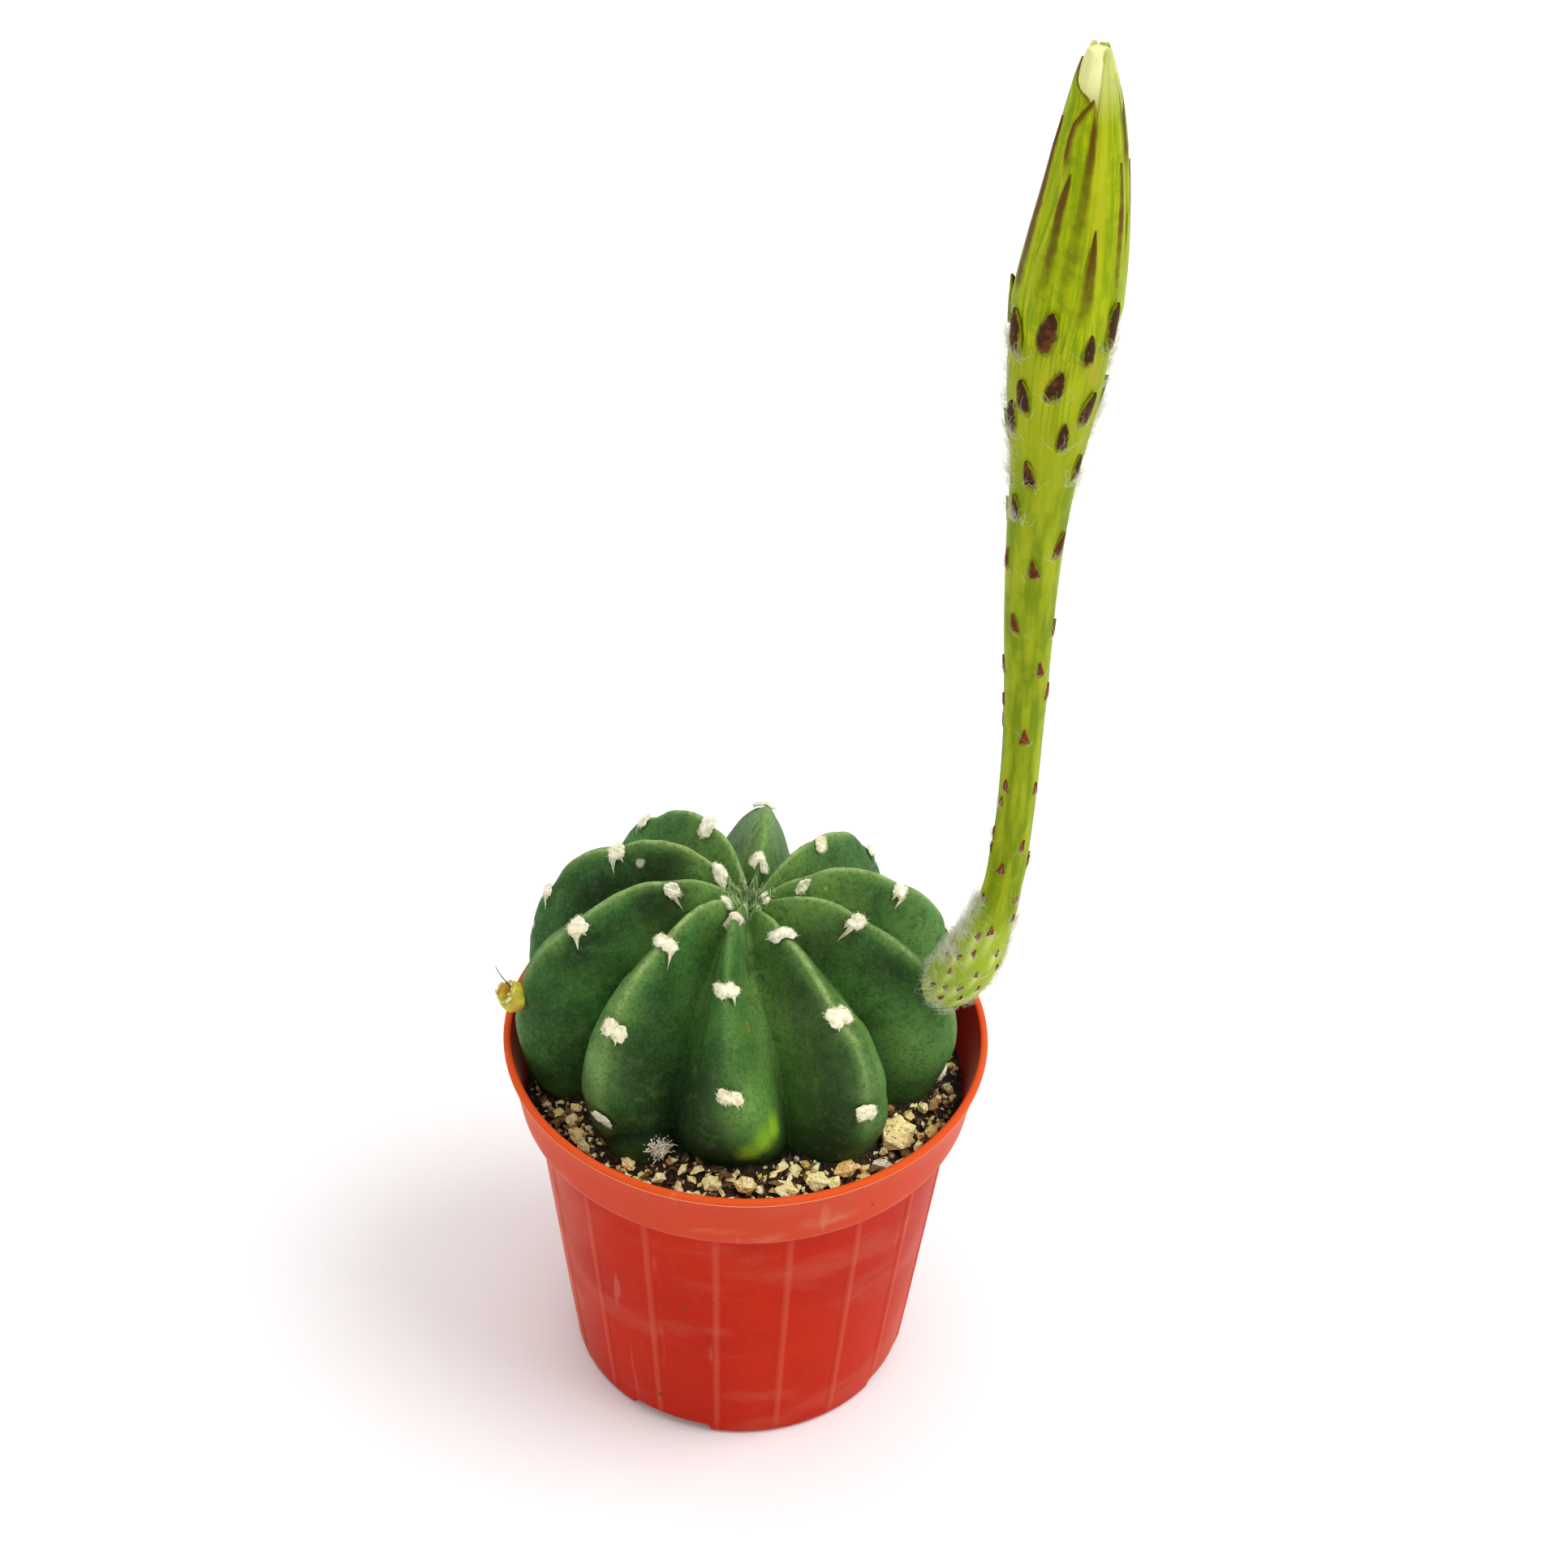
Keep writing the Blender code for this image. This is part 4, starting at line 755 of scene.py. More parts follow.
# %% Where the areoles sit
# rib, distance from the crown, offset across the rib, width, length and bow in mm, then the drips of wool:
# where each starts, across and along the rib, and how far it runs
AREOLES = [
    (0, 13.2, -1.1, 7, 2.2, 0.9, [(-2.5, 0.5, -0.3, 1.4), (2.5, 0.5, 0.4, 1)]),
    (0, 28.6, 0.2, 6.4, 2.1, -0.2, [(1.3, 0.9, 0.3, 1.3), (-2, 0.8, 0.1, 0.5)]),
    (0, 46.6, 0.1, 4.9, 2.6, 0.1, [(-0.9, 0.9, 0, 1.2), (0.9, 0.8, 0.3, 1.8), (-2, 0.6, -0.1, 0.7)]),
    (1, 15, -0.5, 5, 2.3, 0.5, [(-1.8, 0.5, -0.5, 1)]),
    (1, 32.8, 0, 4.9, 2.9, 0, [(-1.1, 1.1, -0.3, 1.1), (1.5, -0.9, 0.3, -0.6)]),
    (1, 51, -0.6, 4.1, 3, 0, [(0.7, 1.1, 0.4, 1.3), (-1.3, 0.9, -0.3, 0.7)]),
    (2, 4.1, 0, 2, 1.4, 0.2, [(0.4, 0.4, 0.4, 0.8)]),
    (2, 22.4, -1.4, 2.9, 2.3, 0, [(-1.2, 0.2, -3.9, 0.6), (-1, -0.7, -1.2, 0)]),
    (2, 63.6, -0.8, 3, 2.3, 0, [(-0.8, 0.6, -0.8, 0.8)]), (3, 3.4, 0.4, 1.8, 1.4, 0, [(0, 0.4, 0.3, 0.7)]),
    (3, 11.4, -2.2, 2.7, 2.4, 0, [(-1.1, 0.4, -1, 0.2)]),
    (3, 30.5, -1.8, 2.7, 2.6, 0, [(-1, 0.5, -2.4, 0.5), (-0.9, -0.7, -1.2, 0)]),
    (3, 49, 0, 3.6, 2.6, 0, [(0, 0.9, 0.2, 1.8)]), (3, 65, 0, 3.4, 2.6, 0, [(0.6, 0.8, 0, 1)]),
    (4, 19.6, -1.6, 2.9, 2.4, 0, [(-1.1, 0.2, -0.9, 0.2)]),
    (4, 39, -2.8, 2.6, 2.3, 0, [(-1, 0.3, -1.3, 0.4)]),
    (4, 55, 0, 3.8, 2.6, 0.2, [(-0.8, 0.8, 0, 1.5), (0.9, 0.8, 0.2, 1)]),
    (5, 8.8, -0.4, 5.6, 2.4, 1.3, [(1.3, -0.7, 0.2, -1.5), (-1.5, -0.6, -0.1, -1)]),
    (5, 34, 0, 3.8, 2.6, 0, [(0.4, 0.9, 0.2, 1.6)]), (5, 50, 0, 4.2, 2.6, 0.2, [(-1, 0.8, 0, 1.3)]),
    (5, 64, 0, 3.6, 2.4, 0, [(0, 0.8, 0, 1)]), (6, 17.6, 1.2, 3.8, 3, 0.2, [(1.4, 0.5, 1.2, 0.6)]),
    (6, 36.5, 1.9, 3, 2.1, 0, [(1, 0.3, 1.5, 0.4)]), (6, 53, 0, 4.2, 2.6, 0, [(-0.7, 0.8, 0.2, 1.6)]),
    (7, 8.4, 0.8, 3.4, 3.2, 0, [(1.5, 0.4, 0.9, 0.4)]),
    (7, 28.8, 1.7, 2.8, 2.5, 0, [(1.1, 0.7, 2.5, 0.9), (1, -0.6, 1, 0)]),
    (7, 45.8, 2, 2.6, 2.3, 0, [(0.9, 0.6, 1.8, 1.1)]), (7, 64, -1, 3.4, 2.2, 0, [(0, 0.8, 0, 0.8)]),
    (8, 17.2, 2.2, 2.8, 2.5, 0, [(1.1, 0.2, 3.6, 0.4), (1, -0.7, 1.2, -0.1)]),
    (8, 35, 1.3, 3.2, 2.8, 0, [(1.1, 0.7, 2.2, 1.3), (1.2, -0.5, 1, 0.2)]), (8, 53.8, 0, 3, 2, 0, []),
    (9, 7.9, 0.9, 2.6, 1.7, 0.2, [(0.9, 0.3, 0.4, 0.7)]),
    (9, 23.7, 0.4, 5.2, 1.9, 0.5, [(1.9, 0.5, 1.1, 2.5), (-1.9, 0.4, -0.2, 0.8)]),
    (9, 41, 0.9, 5.2, 2.7, 0, [(0.9, 1.2, 0.3, 1.1), (-1.7, 0.9, -0.2, 0.7)]),
    (9, 60.3, -0.1, 4.2, 3.1, 0, [(-1.6, 0.7, -1, 0.4), (1.5, 1.1, 0.2, 0.8)]),
]
print("areoles:", len(AREOLES))

# %% Cushions
PAD_RISE = 0.55
PAD_ROWS, PAD_SIDES = 10, 48
wool_rng = np.random.default_rng(11)
pads = Heap()
wool = Heap()


def pad_outline(width, length, angle):
    """How far a cushion reaches in each direction: three or four round tufts grown into one another."""
    tufts = 4 if width > 4.4 else 3
    reach = np.zeros_like(angle)
    for k in range(tufts):
        radius = length * wool_rng.uniform(0.40, 0.56)
        centre_x = (k / (tufts - 1) - 0.5) * (width - radius * 2)
        centre_y = wool_rng.uniform(-0.14, 0.14) * length
        toward = centre_x * np.cos(angle) + centre_y * np.sin(angle)
        inside = radius**2 - (centre_x**2 + centre_y**2 - toward**2)
        reach = np.maximum(reach, np.where(inside > 0, toward + np.sqrt(np.maximum(inside, 0)), 0))
    reach = (np.roll(reach, 1) + 2 * reach + np.roll(reach, -1)) / 4
    return reach * (1 - 0.08 * np.cos(angle * 4) + 0.05 * np.sin(angle * 9 + wool_rng.uniform(0, 6)))


def add_wool(rib, t0, x, y, h, radii):
    """Wraps strands on the plant that were drawn on paper, and adds them to the wool."""
    paths = wrap(rib, t0, x.ravel(), y.ravel(), h.ravel()).reshape(*x.shape, 3)
    wool.add(*strand_mesh(paths, radii), tint=wool_rng.uniform())


for rib, distance, offset, width, length, bow, drips in AREOLES:
    t0, _ = crest_place(rib, distance)
    angle = np.arange(PAD_SIDES) * 2 * math.pi / PAD_SIDES
    reach = pad_outline(width, length, angle)
    ring = np.append(1.0, np.linspace(0.98, 0.0, PAD_ROWS - 1))[:, None]
    wings = float(np.interp(distance, [3, 8, 26, 38], [0.3, 1.1, 0.7, 0.2])) * min(1.0, width / 5.0)
    x = ring * reach * np.cos(angle)
    y = ring * reach * np.sin(angle) + bow * (2 * x / width) ** 2
    lumps = 1 + 0.35 * np.sin(x * 2.6 + rib) * np.cos(y * 2.9 + distance) + 0.12 * np.sin(x * 7.0 + y * 5.0)
    h = PAD_RISE * np.sqrt(np.clip(1 - ring**2.4, 0, 1)) * lumps - 0.05
    h = h + wings * (2 * x / width) ** 2 * (ring < 1)
    pad_faces = grid_faces(PAD_ROWS, PAD_SIDES, flip=True)
    pads.add(wrap(rib, t0, (x + offset).ravel(), y.ravel(), h.ravel()), pad_faces, tint=wool_rng.uniform())

    # Short felted strands that start all over the cushion
    strands, steps = int(15 * width * length), 4
    s = np.linspace(0, 1, steps)[None]
    turn = wool_rng.uniform(0, 2 * math.pi, (strands, 1))
    start = np.sqrt(wool_rng.uniform(0.1, 1, (strands, 1)))
    edge = np.interp(turn, np.append(angle, 2 * math.pi), np.append(reach, reach[0]))
    long = wool_rng.uniform(0.2, 0.6, (strands, 1))
    heading = turn + wool_rng.normal(0, 0.9, (strands, 1))
    x = start * edge * np.cos(turn) + np.cos(heading) * long * s + wander(wool_rng, strands, steps, 0.12)
    y = start * edge * np.sin(turn) + np.sin(heading) * long * s + wander(wool_rng, strands, steps, 0.12)
    y = y + bow * (2 * x / width) ** 2
    h = PAD_RISE * np.sqrt(np.clip(1 - start**2.4, 0, 1)) * (1 - 0.5 * s) + 0.16 * np.sin(s * 2.6)
    h = h + wings * np.minimum(np.abs(2 * x / width), 1.1) ** 2
    add_wool(rib, t0, x + offset, y, np.maximum(h, 0.04), 0.040 * (1 - 0.7 * s))

    # Wisps that run out over its edge and come together in a point
    for from_x, from_y, run_x, run_y in drips:
        strands, steps = 22, 8
        s = np.linspace(0, 1, steps)[None]
        share = wool_rng.uniform(0.45, 1.0, (strands, 1))
        loose = wool_rng.normal(0, 0.24, (strands, 1)) * (1 - 0.93 * s)
        run = math.hypot(run_x, run_y)
        sway = 0.10 * run * np.sin(s * 2.4 + wool_rng.uniform(0, 6))
        x = offset + from_x * 0.85 + (run_x + from_x * 0.15) * s * share - run_y / run * (loose + sway * s)
        y = from_y * 0.8 + bow * (2 * from_x / width) ** 2 + (run_y + from_y * 0.2) * s * share
        y = y + run_x / run * (loose + sway * s)
        h = 0.34 * (1 - s) + 0.07 + 0.10 * wool_rng.uniform(0, 1, (strands, 1)) * s
        h = h + wings * min(1.0, abs(2 * from_x / width)) ** 2 * (1 - s)
        add_wool(rib, t0, x, y, h, 0.085 * (1 - 0.82 * s))
print("points of the cushions:", pads.count, "and of their strands:", wool.count)

# %% [markdown]
# The wool is warm cream, with some ochre where it is old. It has no shine at all, and a fine bump gives the
# cushions the felted look between the strands.

# %% The wool's finish
wool_finish = Finish("areole_wool", roughness=0.95)
felt = wool_finish.grain(2600.0, 3.0, 0.7)
cream = wool_finish.coats(
    wool_finish.mix(wool_finish.layer("tint"), (1.0, 0.95, 0.68), (1.0, 0.97, 0.80)),
    (felt.step(0.56, 0.30) * 0.2, (0.86, 0.70, 0.38)),
    (wool_finish.grain(330.0, 2.0).step(0.56, 0.68) * 0.35, (0.90, 0.66, 0.28)),
)
wool_finish.paint(cream, height=felt, depth_mm=0.25, strength=0.8)
pads.piece("areole_cushions", wool_finish, slot="pumice")
wool.piece("areole_wool", wool_finish, slot="pumice")

# %% [markdown]
# At the crown the youngest areoles sit so close that only a tangle of fine pale hairs shows between the
# ribs.

# %% Crown wool
CROWN_REACH = 4.0
ABOVE_THE_PLANT = 130.0
strands, steps = 110, 7
s = np.linspace(0, 1, steps)[None]
turn = wool_rng.uniform(0, 2 * math.pi, (strands, 1))
start = np.sqrt(wool_rng.uniform(0, 1, (strands, 1))) * CROWN_REACH
heading = turn + wool_rng.normal(0, 1.0, (strands, 1))
reach = wool_rng.uniform(0.5, 1.6, (strands, 1))
x = start * np.cos(turn) + np.cos(heading) * reach * s + wander(wool_rng, strands, steps, 0.9)
y = start * np.sin(turn) + np.sin(heading) * reach * s + wander(wool_rng, strands, steps, 0.9)
h = wool_rng.uniform(0.3, 1.2, (strands, 1)) * np.sin(s * 2.6)
crown_centre = skin(0.0, 0.0)
paths = np.stack([x + crown_centre[0], y + crown_centre[1], np.zeros_like(x)], axis=-1)
for index in np.ndindex(paths.shape[:2]):
    hit = body_tree.ray_cast(Vector((paths[index][0], paths[index][1], ABOVE_THE_PLANT)), Vector((0, 0, -1)))
    paths[index][2] = hit[0].z + 0.1 + h[index]
crown = Heap()
crown.add(*strand_mesh(paths, 0.034 * (1 - 0.5 * s)), tint=0.8)
crown_finish = Finish("crown_wool", roughness=0.95)
crown_finish.paint(crown_finish.mix(crown_finish.grain(300.0), (0.80, 0.92, 0.50), (1.0, 1.0, 0.80)))
crown.piece("crown_wool", crown_finish, slot="pumice")

# %% [markdown]
# ## The flower's stem
#
# The long flower tube grows from a side areole, turns up at once and rises almost straight. Its axis is a
# curve in one upright plane. Every point on the stem is then given by three numbers: how far up it is, its
# angle round the axis counted from the side that the camera sees, and its distance from the axis.

# %% The stem's axis
AXIS = [
    (-2.6, -1.6), (2.7, 2.4), (6, 9), (8.2, 16.9), (9.5, 24), (10.5, 36), (10.9, 50), (10.8, 66),
    (10.3, 82), (10.3, 98), (10.9, 112), (11.2, 126), (11.9, 138), (12.7, 149), (13.3, 160), (13.5, 171),
    (13.4, 181),
]
# The upright plane that the stem bends in, and the side that its angles are counted from
PLANE = math.radians(-16.0)
FACING = -164.0
UPWARD = np.array([0, 0, 1.0])

out_way = np.array([math.cos(PLANE), math.sin(PLANE), 0.0])
left_way = np.cross(UPWARD, out_way)
flower_t, _ = crest_place(2, 41.3)
flower_foot = skin(2.0, flower_t)
axis_flat = through(AXIS, np.linspace(0, 1, 1600))
axis_points = flower_foot + axis_flat[:, :1] * out_way + axis_flat[:, 1:] * UPWARD
axis_headings = unit(np.gradient(axis_points, axis=0))
axis_ups = axis_flat[:, 1]
print("flower foot:", np.round(flower_foot, 1), "top:", np.round(axis_points[-1], 1))


def on_stem(rise, angle_deg, radius):
    """Point at a height, an angle from the camera's side and a distance from the axis."""
    rise, angle_deg, radius = np.broadcast_arrays(rise, angle_deg, radius)
    centre = np.stack([np.interp(rise, axis_ups, axis_points[:, k]) for k in range(3)], axis=-1)
    heading = unit(np.stack([np.interp(rise, axis_ups, axis_headings[:, k]) for k in range(3)], axis=-1))
    front = np.cross(heading, left_way)
    a = np.radians(angle_deg + FACING)[..., None]
    return centre + (left_way * np.cos(a) + front * np.sin(a)) * radius[..., None]


TUBE_R = [
    (-1.6, 2), (-0.9, 3.1), (0, 4), (1.4, 4.6), (6, 4.75), (10, 4.55), (17, 3.6), (26, 3.2), (40, 3.08),
    (58, 3.2), (75, 3.75), (91, 4.3), (106, 4.95), (112, 5.5), (121, 6.8), (127, 7.35), (133, 7.6),
    (139, 7.3), (146, 6.4),
]

# %% [markdown]
# Small pointed scales sit all along the stem in a spiral, crowded on the swollen ovary at its foot and on
# the funnel under the bud. Those that face the camera are placed where the photograph shows them, and the
# golden angle fills the rest, as it does on the real stem.

# %% Where the scales sit
# height of its foot, angle from the camera's side, length and width in mm
SEEN_SCALES = [
    (134.4, -24, 7.8, 3.3), (131.4, -61, 8.2, 3.1), (132.8, 27, 5.8, 2.2), (134.4, 58, 9, 2.9),
    (126, -9, 5.9, 3.1), (122.4, -40, 6.2, 3), (117.2, -68, 6.6, 2.9), (120.8, 38, 6.6, 2.7),
    (116.6, 13, 5.6, 2.3), (108.4, -26, 5.6, 2.5), (109.6, 53, 5.4, 2.2), (101.6, -49, 4.8, 2.2),
    (94.8, 46, 5.2, 2.4), (91.2, -74, 4.4, 2), (91.2, 2, 4.2, 2.2), (80.2, -33, 4, 1.9),
    (78.2, 76, 3.6, 1.8), (70.8, -81, 3.4, 1.7), (71.6, 32, 3.2, 1.7), (66, 66, 3.4, 1.6),
    (63.8, -85, 3, 1.5), (58, 2, 3.4, 1.8), (47.4, -45, 2.8, 1.5), (46.8, 58, 2.8, 1.4),
    (43.9, -62, 2.3, 1.3), (36.2, -89, 2.4, 1.3), (33, -87, 2.4, 1.4), (35.2, 26, 2.7, 1.2),
    (30.6, 81, 2.6, 1.4), (30.2, -24, 2.6, 1.6), (22.3, -64, 2.2, 1.4), (23.4, 42, 2, 1.2),
    (17.6, -89, 2, 1.3), (19.4, 52, 2, 1.2), (16.6, -3, 2.6, 1.3), (14.8, -36, 2.2, 1.3),
    (11.4, -27, 2.1, 1.3), (9, -54, 1.9, 1.2), (6.4, -86, 1.8, 1.2), (5.4, -44, 1.8, 1.2),
    (0.4, -56, 1.6, 1.1), (2.2, -33, 1.8, 1.2), (3.8, -14, 1.8, 1.2), (0.4, -18, 1.6, 1.1),
    (7.8, 4, 1.8, 1), (12.4, 24, 1.8, 1), (5, 28, 1.5, 1), (9.4, 50, 1.6, 1), (2.4, 12, 1.4, 0.9),
]


def all_scales():
    """The seen scales, and the rest of the spiral on the side that the camera doesn't see."""
    rows = [tuple(row) for row in SEEN_SCALES]
    rise, count = 0.8, 0
    while rise < 134:
        angle = (137.5 * count + 40) % 360
        length = np.interp(rise, [0, 20, 60, 90, 112, 132], [1.6, 2.1, 3.2, 4.2, 5.6, 7.6])
        width = np.interp(rise, [0, 20, 60, 90, 112, 132], [1.1, 1.3, 1.7, 2.1, 2.5, 3.1])
        if 90 < angle < 270:
            rows.append((rise, angle, float(length), float(width)))
        rise += float(np.interp(rise, [0, 18, 30, 90, 108, 135], [0.8, 1.2, 3.2, 3.0, 1.8, 1.3]))
        count += 1
    return rows


SCALES = all_scales()
print("scales on the stem:", len(SCALES))

# %% [markdown]
# The stem's surface is a lofted tube. Under each scale a low ridge runs down the stem and fades out. On the
# ovary the ridges stand close and give it its quilted look, and higher up they are hardly there.

# %% The stem's mesh
STEM_SIDES, STEM_ROWS = 72, 330
STEM_FOOT, STEM_TOP = -1.6, 144.0
stem_rise = np.linspace(STEM_FOOT, STEM_TOP, STEM_ROWS)[:, None]
stem_angle = full_turn(STEM_SIDES)
stem_radius = read_table(TUBE_R, stem_rise) + 0 * stem_angle
ridge_layer = np.zeros_like(stem_radius)
for rise, angle, length, width in SCALES:
    away = (stem_angle - angle + 180) % 360 - 180
    across = np.radians(away) * np.maximum(stem_radius, 2) / (width * 0.50)
    below = (rise + length * 0.3 - stem_rise) / (length * 2.0)
    ridge = np.clip(1 - below, 0, 1) * np.clip(below * 6 + 1, 0, 1) * np.exp(-across**2)
    ridge_layer = np.maximum(ridge_layer, ridge)
    stem_radius = stem_radius + ridge * np.interp(rise, [0, 22, 40, 110, 130], [0.26, 0.24, 0.08, 0.08, 0.16])
stem_points = on_stem(stem_rise, stem_angle, stem_radius).reshape(-1, 3)
stem_points = np.vstack([stem_points, on_stem(STEM_FOOT, 0.0, 0.0)[None], on_stem(STEM_TOP, 0.0, 0.0)[None]])
side_turn = np.abs((stem_angle + 0 * stem_rise + 180) % 360 - 180) / 180 * 3
print("stem's thickest radius, in mm:", np.round(stem_radius.max(), 2))

# %% [markdown]
# The stem is translucent yellow-green, cloudy rather than streaked, and a fine down makes its edges look
# pale. That down is too short to model, so the shader's sheen stands for it.

# %% The stem's finish
stem_finish = Finish(
    "flower_stem", roughness=0.5, specular_ior_level=0.06, sheen_weight=0.06, sheen_roughness=0.3)
round_stem, tall = stem_finish.layer("round"), stem_finish.layer("tall")
streak = stem_finish.stretched(round_stem * 1.6, tall * 2.4, 0.0)
grooves = stem_finish.stretched(round_stem * 16.0, tall * 3.0, 3.0, detail=2.0, rough=0.5).step(0.54, 0.40)
funnel = tall.step(2.5, 3.1)
ovary = tall.step(0.62, 0.3)
green = stem_finish.coats(
    stem_finish.mix(streak.step(0.38, 0.64), (0.175, 0.255, 0.004), (0.35, 0.41, 0.012)),
    # Pale and olive clouds
    (stem_finish.grain(240.0).step(0.5, 0.72) * 0.35, (0.37, 0.40, 0.02)),
    (stem_finish.grain(420.0, 4.0, 0.65).step(0.54, 0.68) * 0.28, (0.20, 0.19, 0.008)),
    # The funnel is yellower, and the ovary is paler, above all on its ridges
    (funnel * 0.55, (0.46, 0.49, 0.010)),
    (ovary * 0.65, (0.42, 0.56, 0.05)),
    (ovary * stem_finish.layer("ridge") * 0.85, (0.78, 0.86, 0.26)),
    # Deep green lines at the top of the funnel, and rusty patches
    (grooves * tall.step(2.75, 3.3) * 0.7, (0.17, 0.26, 0.002)),
    (stem_finish.grain(300.0, 4.0, 0.65).step(0.55, 0.68) * funnel * 0.5, (0.46, 0.30, 0.03)),
)
stem_finish.paint(green, height=streak + 0.4 * stem_finish.grain(1800.0), depth_mm=0.10, strength=0.4)
stem_faces = tube_faces(STEM_ROWS, STEM_SIDES)
make_piece(
    "flower_stem", stem_points, stem_faces, stem_finish, ["flower_tube"], "flower_green",
    layers={
        "round": with_ends(side_turn),
        "tall": with_ends(stem_rise / 40 + 0 * stem_angle, 0, 3.6),
        "ridge": with_ends(ridge_layer),
    },
)

# %% [markdown]
# A scale is a thick little leaf: its foot is sunk in the stem and its point stands a hair's breadth free.
# It is made as two sheets, a top and an underside, stitched along their borders, so it is a closed body
# from any side. On the funnel the scales are long, dark and blunt. Lower down they are small red-brown
# teardrops.

# %% Leaves as two stitched sheets
def stitched(heap, top, under, **layers):
    """Adds a closed leaf from two grids of points with the same shape."""
    rows, columns = top.shape[:2]
    count = rows * columns
    faces = grid_faces(rows, columns, closed=False)
    faces += grid_faces(rows, columns, closed=False, start=count, flip=True)
    border = [(0, c) for c in range(columns)] + [(r, columns - 1) for r in range(1, rows)]
    border += [(rows - 1, c) for c in range(columns - 2, -1, -1)] + [(r, 0) for r in range(rows - 2, 0, -1)]
    index = [r * columns + c for r, c in border]
    for k, here in enumerate(index):
        there = index[(k + 1) % len(index)]
        faces.append((there, here, here + count, there + count))
    doubled = {name: np.tile(np.asarray(values, float).ravel(), 2) for name, values in layers.items()}
    heap.add(np.concatenate([top.reshape(-1, 3), under.reshape(-1, 3)]), faces, **doubled)


test_leaf = Heap()
stitched(test_leaf, np.zeros((3, 4, 3)), np.ones((3, 4, 3)))
print("a leaf of 3 by 4 points has", len(test_leaf.faces), "faces")

# %% Scales
SCALE_ROWS, SCALE_COLUMNS = 11, 7
scale_rng = np.random.default_rng(5)
scales = Heap()
for rise, angle, length, width in SCALES:
    s = np.linspace(0, 1, SCALE_ROWS)[:, None]
    u = np.linspace(-1, 1, SCALE_COLUMNS)[None]
    blunt = np.clip((length - 3.5) / 3, 0, 1)
    teardrop = np.clip(s * 5 + 0.35, 0, 1) * (1 - s) ** 0.9
    oval = np.sin(np.pi * np.clip(0.12 + 0.86 * s, 0, 1)) ** 0.6
    half = width / 2 * (teardrop * (1 - blunt) * 1.1 + oval * blunt) + 0.02
    height = rise + length * s
    skin_r = read_table(TUBE_R, np.minimum(height, 139))
    skin_r = skin_r + np.interp(height, [130, 134, 144], [0.0, 0.55, 1.0])
    free = scale_rng.uniform(0.1, 0.45) * (length / 6 + 0.3)
    thick = 0.06 + 0.045 * length * np.sin(np.pi * np.clip(s * 0.9 + 0.05, 0, 1)) * (1 - u**2)
    top_r = skin_r + 0.05 + thick + free * s**2.5
    under_r = skin_r - 0.35 * (1 - s) ** 0.5 - 0.15 + free * s**2.5
    turn = angle + np.degrees(u * half / skin_r) + scale_rng.uniform(-9, 9) * s
    same = np.ones((SCALE_ROWS, SCALE_COLUMNS))
    stitched(
        scales, on_stem(height, turn, top_r), on_stem(height, turn, under_r),
        along=s * same, across=u * same, big=np.interp(rise, [60, 105], [0, 1]) * same,
    )

scale_finish = Finish("stem_scales", roughness=0.6, specular_ior_level=0.08)
blotch = scale_finish.grain(520.0, 4.0, 0.65)
big = scale_finish.layer("big")
maroon = scale_finish.coats(
    scale_finish.mix(big, (0.20, 0.030, 0.010), (0.050, 0.018, 0.004)),
    (blotch.step(0.50, 0.64) * 0.7, (0.17, 0.045, 0.010)),
)
# Green shows at the foot, and on the big scales along their borders
border = scale_finish.layer("across") * scale_finish.layer("across") + (blotch - 0.5) * 1.6
foot = (scale_finish.layer("along") + (blotch - 0.5) * 0.7).step(0.02, 0.24)
shown = foot * (1 - big * (1 - border.step(1.05, 0.35)))
scale_colour = scale_finish.mix(shown.clipped(), (0.24, 0.27, 0.004), maroon)
scale_finish.paint(scale_colour, height=blotch, strength=0.4)
scales.piece("stem_scales", scale_finish, slot="flower_green")

# %% [markdown]
# Long silky hairs grow from under every scale. On the funnel they form a grey fringe that shows best at its
# outline, and on the tube there are only a few. The ovary is felted: thickest on its inner side, next to
# the body, and on its underside. As with the areoles, the strands are drawn on paper wrapped round the
# stem.

# %% Silky hairs
silk_rng = np.random.default_rng(23)
SILK_STEPS = 6
HIGHEST_SILK = 146


def silk_tuft(heap, strands, rise, angle, spread, long, slant, stand, curl=0.5, climb_share=0.85, thin=0.026):
    """Strands that start round one place on the stem. With a negative climb_share they hang."""
    s = np.linspace(0, 1, SILK_STEPS)[None]
    long = silk_rng.uniform(0.45, 1.0, (strands, 1)) * long
    slant = silk_rng.normal(0, slant, (strands, 1))
    sideways = silk_rng.normal(0, spread, (strands, 1)) + np.sin(slant) * long * s
    sideways = sideways + wander(silk_rng, strands, SILK_STEPS, curl)
    climb = rise + silk_rng.uniform(-0.5, 0.7, (strands, 1)) + np.cos(slant) * long * s * climb_share
    climb = climb + wander(silk_rng, strands, SILK_STEPS, curl * 0.8)
    stand = silk_rng.uniform(0.1, 1.0, (strands, 1)) ** 1.3 * stand
    h = stand * np.sin(s * 2.0) + 0.3 * s * silk_rng.uniform(-0.5, 1, (strands, 1))
    around = np.maximum(read_table(TUBE_R, np.clip(climb, -1.2, 139)), 3.2)
    turn = angle + np.degrees(sideways / around)
    paths = on_stem(np.clip(climb, -1.4, HIGHEST_SILK), turn, around + 0.12 + np.maximum(h, 0.0))
    heap.add(*strand_mesh(paths, thin * (1 - 0.6 * s)), tint=silk_rng.uniform())


def silk_patch(heap, tufts, strands, rises, angles, *shape, sides=(1,), **more):
    """Tufts at random places between two heights and two angles."""
    for side in sides:
        for _ in range(tufts):
            rise, angle = silk_rng.uniform(*rises), side * silk_rng.uniform(*angles)
            silk_tuft(heap, strands, rise, angle, *shape, **more)


